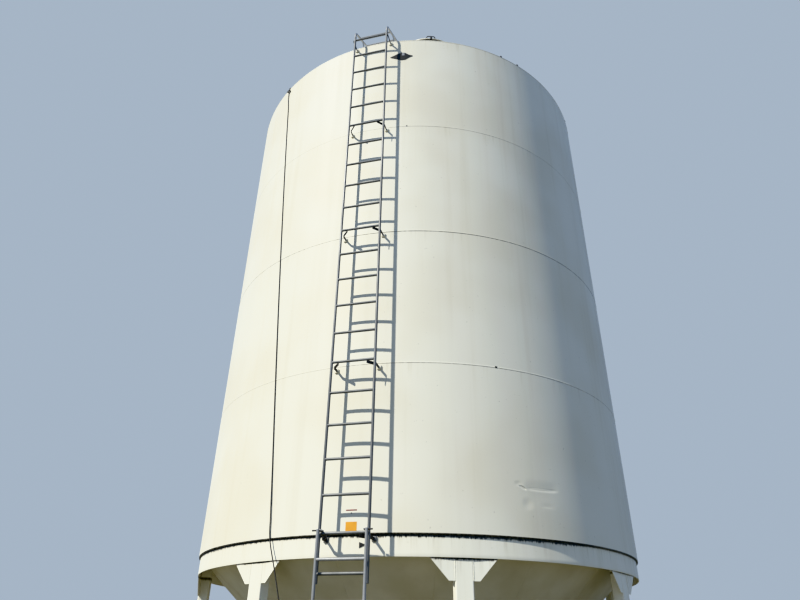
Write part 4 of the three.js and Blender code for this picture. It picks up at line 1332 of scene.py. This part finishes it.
# %% Roof ladder: rails and rungs
rail_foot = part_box("roof_ladder")[0].z
rail_line = [Vector((0, RAIL_Y, rail_foot)), Vector((0, RAIL_Y, BEND_Z - 0.001))]
rail_line += [on_bend(BEND * i / 12) for i in range(13)] + [bend_end + upslope * LADDER_REACH]
pieces = []
for side in (-1, 1):
    x = Vector((side * RAIL_X, 0, 0))
    pieces.append(tube("rail", [point + x for point in rail_line], PIPE_R - 0.0002, 7))
    pieces += [roof_foot(bend_end + upslope * distance, x) for distance in FOOT_PLACES]
for i in range(7):
    place = bend_end + upslope * (0.165 + RUNG_STEP * i)
    pieces += rung(place.z, place.y, RAIL_X)
roof_rails = join("roof_rails", pieces)
dress(roof_rails, LIT_ZINC, "galvanised", "roof_ladder")
print("roof ladder faces", len(roof_rails.data.polygons))

# %% [markdown]
# The lower ladder hangs by two hooks on a rung of the side ladder, so it can be taken away. It is
# made as the side ladder is, from the same rods and rungs. A dark pin runs through each rail's
# head.

# %% Lower ladder
LOW_RAIL_X = 0.2085
LOW_Y = RAIL_Y - 0.047
LOW_HEAD, LOW_FOOT, LOW_TOP_RUNG = 2.465, 0.25, 2.235
HOOK_Z = TOP_RUNG_Z - 20 * RUNG_STEP + PIPE_R + GAP
HOOK_W, HOOK_T = 0.021, 0.012
PIN_HALF, PIN_R, PIN_Z = 0.036, 0.0065, 2.455
pieces, pins = [], []
for side in (-1, 1):
    x = side * LOW_RAIL_X
    pieces.append(rod("rail", (x, LOW_Y, LOW_FOOT), (x, LOW_Y, LOW_HEAD), PIPE_R, 24, 0.0015))
    near = side * (RAIL_X - PIPE_R - GAP)
    far = near - side * HOOK_W
    pieces.append(bar("hook", (min(near, far), LOW_Y, HOOK_Z),
                      (max(near, far), RAIL_Y + PIPE_R, HOOK_Z + HOOK_T), 0.0015))
    edge = side * (LOW_RAIL_X + PIPE_R)
    reach = side * PIN_HALF
    pins.append(rod("pin", (edge - reach, LOW_Y, PIN_Z), (edge + reach, LOW_Y, PIN_Z), PIN_R))
for i in range(7):
    pieces += rung(LOW_TOP_RUNG - i * RUNG_STEP, LOW_Y, LOW_RAIL_X)
lower = join("lower_rails", pieces)
dress(lower, LIT_ZINC, "galvanised", "lower_ladder")
dress(join("hook_pins", pins), SHADED_DARK_STEEL, "strap_steel")
print("lower ladder faces", len(lower.data.polygons))

# %% [markdown]
# Straps of dark flat bar hold the ladder off the wall. Each comes out of a small tab, bends in at
# 45 degrees and ends under a rung. Their solids have the right shape, so they are copied with
# eased edges. The tabs on the wall are painted with it. The two on the band are grey, a painted
# shade that matches the straps' shadows on the band, so each strap has two finishes, chosen
# face by face.

# %% Straps
TAB_T = 0.0055
strap_nodes = [f"ladder_strap_{side}_{i}" for side in ("left", "right") for i in range(1, 6)]
for node in strap_nodes:
    name = node.replace("ladder_strap", "strap")
    strap = eased_copy(node, name, 0.001, SHADED_DARK_STEEL, "strap_steel")
    on_band = node.endswith("1")
    # On the band the tab is grey: painted shade that matches the strap's shadow there.
    strap.data.materials.append(SHADED_ZINC if on_band else WALL_PAINT)
    surface = BAND_R if on_band else WALL_R
    for face in strap.data.polygons:
        face.material_index = int(AXIS_Y - face.center.y < surface + TAB_T)
print("straps:", len(strap_nodes))

# %% [markdown]
# Small things sit flat on the round wall: a yellow plate, a red strip, and a black plate drawn
# out to a point on each side. A Shrinkwrap could lay them on, but it would give each one the
# wall's own flat facets. So each starts as a flat grid, its points are laid on the round by angle
# and height, and a Solidify modifier gives the thickness.

# %% Thin plates on the wall
def wall_plate(name, columns, rows, lay, r, thickness, finish, slot, *nodes):
    """A thin plate: lay(u, v) gives the azimuth and height of each point of a grid."""
    bpy.ops.mesh.primitive_grid_add(x_subdivisions=columns, y_subdivisions=rows, size=1)
    piece = bpy.context.object
    for vertex in piece.data.vertices:
        az, z = lay(vertex.co.x + 0.5, vertex.co.y + 0.5)
        vertex.co = spot(az, r, z)
    piece = settle(name)
    edit(piece)
    bpy.ops.mesh.remove_doubles(threshold=0.00005)
    bpy.ops.object.mode_set(mode="OBJECT")
    face = piece.data.polygons[0]
    if face.normal.dot(face.center - AXIS) < 0:
        piece.data.flip_normals()
    depth = piece.modifiers.new("depth", "SOLIDIFY")
    depth.thickness = thickness
    depth.offset = 1
    bpy.ops.object.modifier_apply(modifier="depth")
    bpy.ops.object.shade_smooth_by_angle(angle=math.radians(SMOOTH))
    piece.select_set(False)
    return dress(piece, finish, slot, *nodes)


def upright(az_low, az_high, z_low, z_high):
    """Lays a grid as a level rectangle."""
    return lambda u, v: (az_low + (az_high - az_low) * u, z_low + (z_high - z_low) * v)


wall_plate("label_plate", 8, 4, upright(-0.88, 1.42, 2.467, 2.548), SHEET_R, 0.0013,
           YELLOW_PLATE, "wall_paint")
wall_plate("red_strip", 8, 2, upright(-0.95, 1.35, 2.638, 2.648), SHEET_R, 0.0010,
           RED_PLATE, "wall_paint")
wall_plate("dark_dot", 2, 2, upright(0.10, 0.30, 2.615, 2.623), SHEET_R, 0.0010,
           BLACK_PLATE, "wall_paint")
print("plates by the ladder's foot made")

# %% The black plate, with its bright clip
STAR_HEAD = ((5.36, 8.257), (6.49, 8.279), (7.61, 8.307), (8.49, 8.320), (9.07, 8.323),
             (9.83, 8.317), (10.96, 8.279), (12.11, 8.260))
STAR_FOOT = ((5.36, 8.250), (5.93, 8.238), (7.98, 8.199), (8.54, 8.186), (9.86, 8.190),
             (10.96, 8.226), (12.11, 8.254))


def on_line(corners, az):
    """Height at an angle on a line of straight pieces."""
    for (az_a, z_a), (az_b, z_b) in zip(corners, corners[1:]):
        if az <= az_b + 0.0001:
            return z_a + (z_b - z_a) * (az - az_a) / (az_b - az_a)


def star(u, v):
    """A plate drawn out to a point on the left and on the right."""
    az = STAR_HEAD[0][0] + (STAR_HEAD[-1][0] - STAR_HEAD[0][0]) * u
    low, high = on_line(STAR_FOOT, az), on_line(STAR_HEAD, az)
    return az, low + (high - low) * v


wall_plate("eave_star", 48, 6, star, WALL_R - 0.001, 0.004,
           BLACK_PLATE, "dark_plate", "eave_plate")


def clip(u, v):
    """A small strip that leans to the right and narrows upwards."""
    return 8.85 + 0.10 * v + (0.80 - 0.12 * v) * u, 8.268 + 0.050 * v


wall_plate("star_clip", 4, 4, clip, WALL_R + 0.003, 0.002, LIT_ZINC, "galvanised")
print("black plate and clip made")

# %% Plugs in the seams, and the lug on the band
# Plugs: angle, height, half the width in degrees, half the height.
SEAM_PLUGS = ((31.43, 3.984, 0.25, 0.0075), (10.54, 7.031, 0.17, 0.007))
for number, (az, z, half_az, half_z) in enumerate(SEAM_PLUGS, 1):
    lay = upright(az - half_az, az + half_az, z - half_z, z + half_z)
    wall_plate(f"seam_plug_{number}", 4, 4, lay, WALL_R - 0.001, 0.002, BLACK_PLATE, "dark_plate")

LUG_AZ, LUG_W, LUG_Z = 1.97, 1.35, (2.343, 2.368, 2.389)


def lug(u, v):
    """A small plate that narrows to a point on the right."""
    foot, point, head = LUG_Z
    low = foot + (point - foot) * u
    high = head + (point - head) * u
    return LUG_AZ + LUG_W * u, low + (high - low) * v


wall_plate("band_lug", 10, 4, lug, BAND_R - 0.0005, 0.0055, BLACK_PLATE, "dark_plate")
print("seam plugs:", len(SEAM_PLUGS))

# %% [markdown]
# A few bolt heads stand up behind the eave and break its line against the sky. They are copies of
# the one bolt, turned square to the roof. The guide that the rope runs through and the cleat that
# it is made fast to keep their solids' shapes, with eased edges.

# %% Eave bolts
EAVE_BOLT_R = WALL_R - 0.016
EAVE_BOLTS_AZ = (41.1, 47.6, 79.6)
places = []
for az in EAVE_BOLTS_AZ:
    square = spot(az, math.sin(ROOF_SLOPE), math.cos(ROOF_SLOPE)) - spot(az, 0, 0)
    places.append((spot(az, EAVE_BOLT_R, on_roof(EAVE_BOLT_R)), square))
bolts("eave_bolts", places, SHADED_DARK_STEEL, "strap_steel", 1.3)
print("eave bolts:", len(places))

# %% Rope guide and cleat
eased_copy("rope_guide", "guide_tab", 0.0008, SHADED_ZINC, "galvanised")
eased_copy("rope_cleat", "cleat_horn", 0.003, SHADED_ZINC, "galvanised")
print("guide and cleat made")

# %% [markdown]
# A pale floor and plain light leave all the attention on the bin. One lamp stands as high and as
# far left as the light in the picture, wide enough for soft edges to its shadows. The air round
# the bin fills the shade with pale blue. The camera sees a greyer air than the one that lights
# the bin, and the light that the floor throws up is warmer than the floor looks.

# %% Floor, lamp and surroundings
FLOOR_SIZE, FLOOR_DROP = 60, 0.0005
bpy.ops.mesh.primitive_plane_add(size=FLOOR_SIZE, location=(0, 0, -FLOOR_DROP))
floor = settle("floor")
floor.data.materials.append(FLOOR_PAINT)

LAMP_AZ, LAMP_UP = math.radians(-38.3), math.radians(38.5)
lamp_data = bpy.data.lights.new("lamp", "SUN")
lamp_data.energy = 5.1
lamp_data.angle = math.radians(1.2)
lamp_data.color = (1.0, 0.975, 0.87)
lamp = bpy.data.objects.new("lamp", lamp_data)
bpy.context.scene.collection.objects.link(lamp)
lamp_from = Vector((math.sin(LAMP_AZ) * math.cos(LAMP_UP),
                    -math.cos(LAMP_AZ) * math.cos(LAMP_UP), math.sin(LAMP_UP)))
lamp.matrix_world = lamp_from.to_track_quat("Z", "Y").to_matrix().to_4x4()
print("lamp set")

# %% The air, and the light that the floor throws up
AIR_LIGHT, AIR_SEEN = (0.285, 0.405, 0.635, 1), (0.42, 0.50, 0.60, 1)
FLOOR_LIGHT = (0.171, 0.155, 0.095, 1)


def camera_mix(tree, kind, **settings):
    """A mix node whose second side is what the camera sees."""
    either = tree.nodes.new(kind)
    for key, value in settings.items():
        setattr(either, key, value)
    rays = tree.nodes.new("ShaderNodeLightPath")
    tree.links.new(rays.outputs["Is Camera Ray"], either.inputs[0])
    return either


world = bpy.data.worlds.new("surroundings")
bpy.context.scene.world = world
world.use_nodes = True
tree = world.node_tree
light = tree.nodes["Background"]
light.inputs["Color"].default_value = AIR_LIGHT
air = tree.nodes.new("ShaderNodeBackground")
air.inputs["Color"].default_value = AIR_SEEN
either = camera_mix(tree, "ShaderNodeMixShader")
tree.links.new(light.outputs[0], either.inputs[1])
tree.links.new(air.outputs[0], either.inputs[2])
tree.links.new(either.outputs[0], tree.nodes["World Output"].inputs["Surface"])

tree = FLOOR_PAINT.node_tree
base = tree.nodes["Principled BSDF"].inputs["Base Color"]
pale_floor = base.links[0].from_socket
either = camera_mix(tree, "ShaderNodeMix", data_type="RGBA")
either.inputs[6].default_value = FLOOR_LIGHT
tree.links.new(pale_floor, either.inputs[7])
tree.links.new(either.outputs[2], base)
bpy.context.scene.view_settings.view_transform = "Khronos PBR Neutral"
print("air and floor light set")

# %% [markdown]
# Last, the bolt that was copied is taken away.

# %% Close the lesson
bpy.data.objects.remove(BOLT)
bpy.context.view_layer.update()
